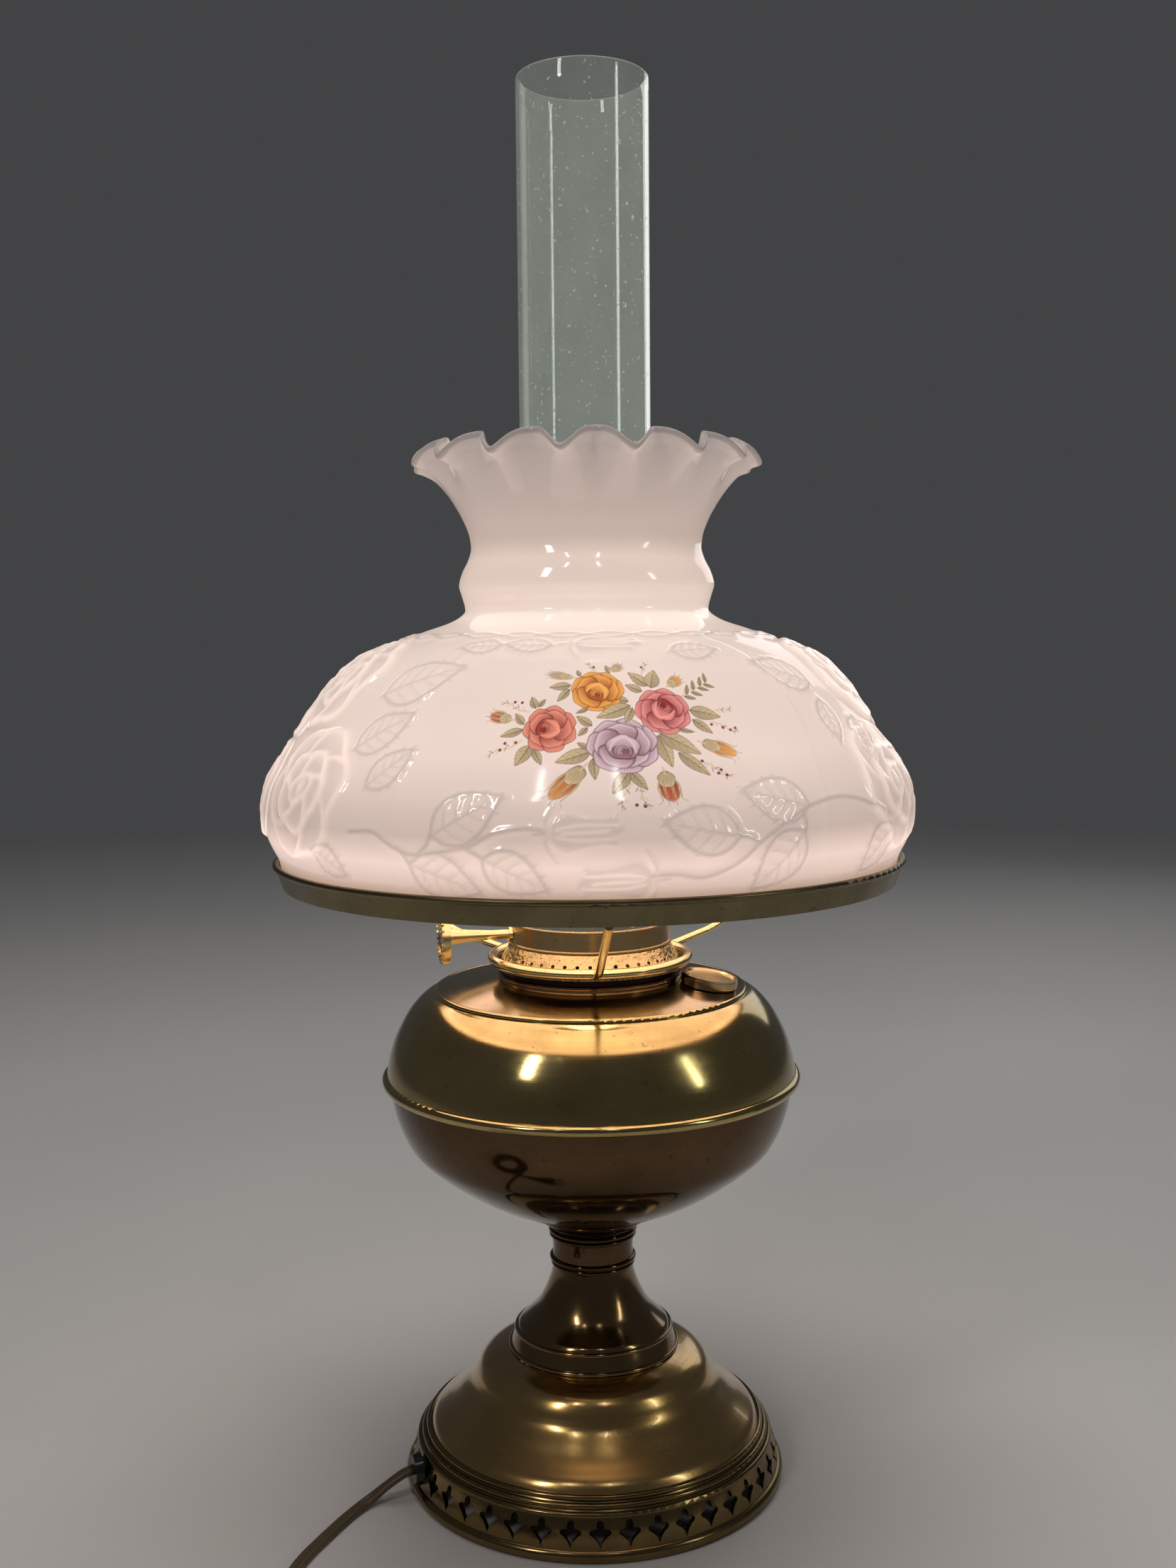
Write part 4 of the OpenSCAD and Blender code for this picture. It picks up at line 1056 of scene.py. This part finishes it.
def add_chimney(material):
    """The clear chimney: a straight tube on a wider foot, with fire-polished rims."""
    half = CHIMNEY_WALL / 2
    tube = np.linspace(272, CHIMNEY_TOP_Z - half, 60)
    middle = np.vstack([
        [(CHIMNEY_FOOT_R - half, CHIMNEY_FOOT_Z + half + t) for t in (0, 4, 8)],
        curve([(r - half, z) for r, z in CHIMNEY_SHOULDER], 6),
        [(CHIMNEY_R - half, z) for z in tube]])
    side = left_normals(middle) * half
    ring = np.radians(np.arange(20, 180, 20))
    arc = half * np.stack([np.cos(ring), np.sin(ring)], 1)
    outline = np.vstack([middle - side, middle[-1] + arc, (middle + side)[::-1], middle[0] - arc])
    directions = np.linspace(0, 2 * math.pi, CHIMNEY_COLUMNS, endpoint=False)
    points = around(outline[:, 0:1], outline[:, 1:2], directions)
    faces = grid_faces(len(outline), CHIMNEY_COLUMNS, wrap_rows=True)
    piece = new_piece("glass_chimney", points, faces, material)
    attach(piece, "chimney")
    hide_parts("chimney")


# ---- Carried-over CAD nodes ----


def smooth_by_angle(limit):
    """Nodes that smooth a mesh except across edges sharper than limit degrees."""
    group = bpy.data.node_groups.new("smooth_by_angle", "GeometryNodeTree")
    for way in ("INPUT", "OUTPUT"):
        group.interface.new_socket("Geometry", in_out=way, socket_type="NodeSocketGeometry")
    start, end = group.nodes.new("NodeGroupInput"), group.nodes.new("NodeGroupOutput")
    angle = group.nodes.new("GeometryNodeInputMeshEdgeAngle")
    sharp = group.nodes.new("ShaderNodeMath")
    sharp.operation = "GREATER_THAN"
    sharp.inputs[1].default_value = math.radians(limit)
    normals = group.nodes.new("GeometryNodeSetMeshNormal")
    normals.mode = "SHARPNESS"
    group.links.new(angle.outputs["Unsigned Angle"], sharp.inputs[0])
    group.links.new(sharp.outputs[0], normals.inputs["Edge Sharpness"])
    group.links.new(start.outputs[0], normals.inputs["Mesh"])
    group.links.new(normals.outputs[0], end.inputs[0])
    return group


def finish_nodes(by_slot, by_node):
    """Gives each CAD node its own finish, or its slot's, and smooths what isn't sharp."""
    smoothing = smooth_by_angle(28)
    slots = {part["node"]: part["material_slot"] for part in frame["record"]["subparts"]}
    for name, node in frame["nodes"].items():
        if slots[name] not in by_slot:
            continue
        node.data.materials.clear()
        node.data.materials.append(by_node.get(name, by_slot[slots[name]]))
        weld = node.modifiers.new("weld", "WELD")
        weld.merge_threshold = 0.002 * MM
        node.modifiers.new("smooth", "NODES").node_group = smoothing


# ---- Making ----

# The deck is blackened above this height, in metres
DECK_EDGE = 0.2163

add_camera()
add_studio()
cord_material = moulded("cord_jacket", (0.11, 0.075, 0.04), 0.3)
add_cord(cord_material)
milk = milk_glass()
add_shade(milk)
add_bouquet(milk)
chimney_glass = clear_glass("clear_glass", (0.93, 0.96, 0.93), (0.044, 0.047, 0.040))
add_chimney(chimney_glass)

slot_finishes = {
    "cast_brass": aged_brass("cast_brass", (0.27, 0.185, 0.08), (0.09, 0.06, 0.025), (0.12, 0.26),
                             brushing=0.000004, blotch=40.0),
    "spun_brass": aged_brass("spun_brass", (0.50, 0.36, 0.14), (0.20, 0.125, 0.04)),
    "dark_brass": aged_brass("dark_brass", (0.055, 0.026, 0.018), (0.03, 0.015, 0.012), (0.2, 0.4)),
    "wire_brass": aged_brass("wire_brass", (0.80, 0.66, 0.33), (0.5, 0.37, 0.15), (0.12, 0.26), tarnish=0.3),
    "antique_brass": aged_brass("antique_brass", (0.24, 0.19, 0.10), (0.08, 0.065, 0.04), (0.22, 0.4),
                                brushing=0.00005),
    "cork": moulded("cork", (0.4, 0.27, 0.16), 0.8, grain=400.0),
    "clear_glass": chimney_glass,
    "cord_jacket": cord_material,
    "bulb_envelope": bulb_envelope(),
}
for slot, colour, rough in (
        ("steel", (0.55, 0.55, 0.56), 0.3), ("contact_brass", (0.75, 0.56, 0.25), 0.2),
        ("nickel", (0.7, 0.69, 0.66), 0.2), ("filament_metal", (0.7, 0.68, 0.62), 0.3)):
    slot_finishes[slot] = plain_metal(slot, colour, rough)
for slot, colour, rough in (
        ("phenolic", (0.05, 0.03, 0.02), 0.25), ("liner_board", (0.5, 0.4, 0.26), 0.8),
        ("black_nylon", (0.012, 0.012, 0.013), 0.18), ("brown_plastic", (0.10, 0.06, 0.035), 0.35)):
    slot_finishes[slot] = moulded(slot, colour, rough)

# Painted shade: the font's underside and the stem's sleeve get a much darker brown copy of the brass, for
# the dark they reflect below the font
brown = aged_brass("shaded_brown_brass", (0.13, 0.08, 0.04), (0.045, 0.025, 0.012), (0.05, 0.14))
node_finishes = {
    "font_bowl": brown,
    "stem_sleeve": brown,
    # Painted shade in part: the trumpet's brass is darker than the bell's, for the dark it reflects under
    # the font
    "stem_trumpet": aged_brass("trumpet_brass", (0.30, 0.185, 0.075), (0.10, 0.06, 0.022), (0.1, 0.2),
                               coat=0.5),
    "font_dome": aged_brass("olive_brass", (0.60, 0.45, 0.19), (0.28, 0.21, 0.075), (0.09, 0.2),
                            brushing=0.00004, tarnish=0.65, coat=0.3),
    "font_deck": aged_brass("deck_brass", (0.42, 0.32, 0.18), (0.25, 0.18, 0.09), (0.10, 0.2),
                            dark_above=DECK_EDGE),
    "filler_cap": aged_brass("cap_brass", (0.58, 0.46, 0.28), (0.36, 0.26, 0.13), (0.12, 0.24)),
    "burner_skirt": aged_brass("crinkled_brass", (0.62, 0.48, 0.24), (0.25, 0.17, 0.07), (0.1, 0.3),
                               crinkle=0.0012),
    "chimney_gallery": aged_brass("scratched_brass", (0.50, 0.37, 0.18), (0.2, 0.13, 0.06), (0.18, 0.36),
                                  brushing=0.00008),
    "base_bell": aged_brass("bell_brass", (0.66, 0.42, 0.15), (0.26, 0.15, 0.045), (0.15, 0.28), coat=0.8),
}
finish_nodes(slot_finishes, node_finishes)
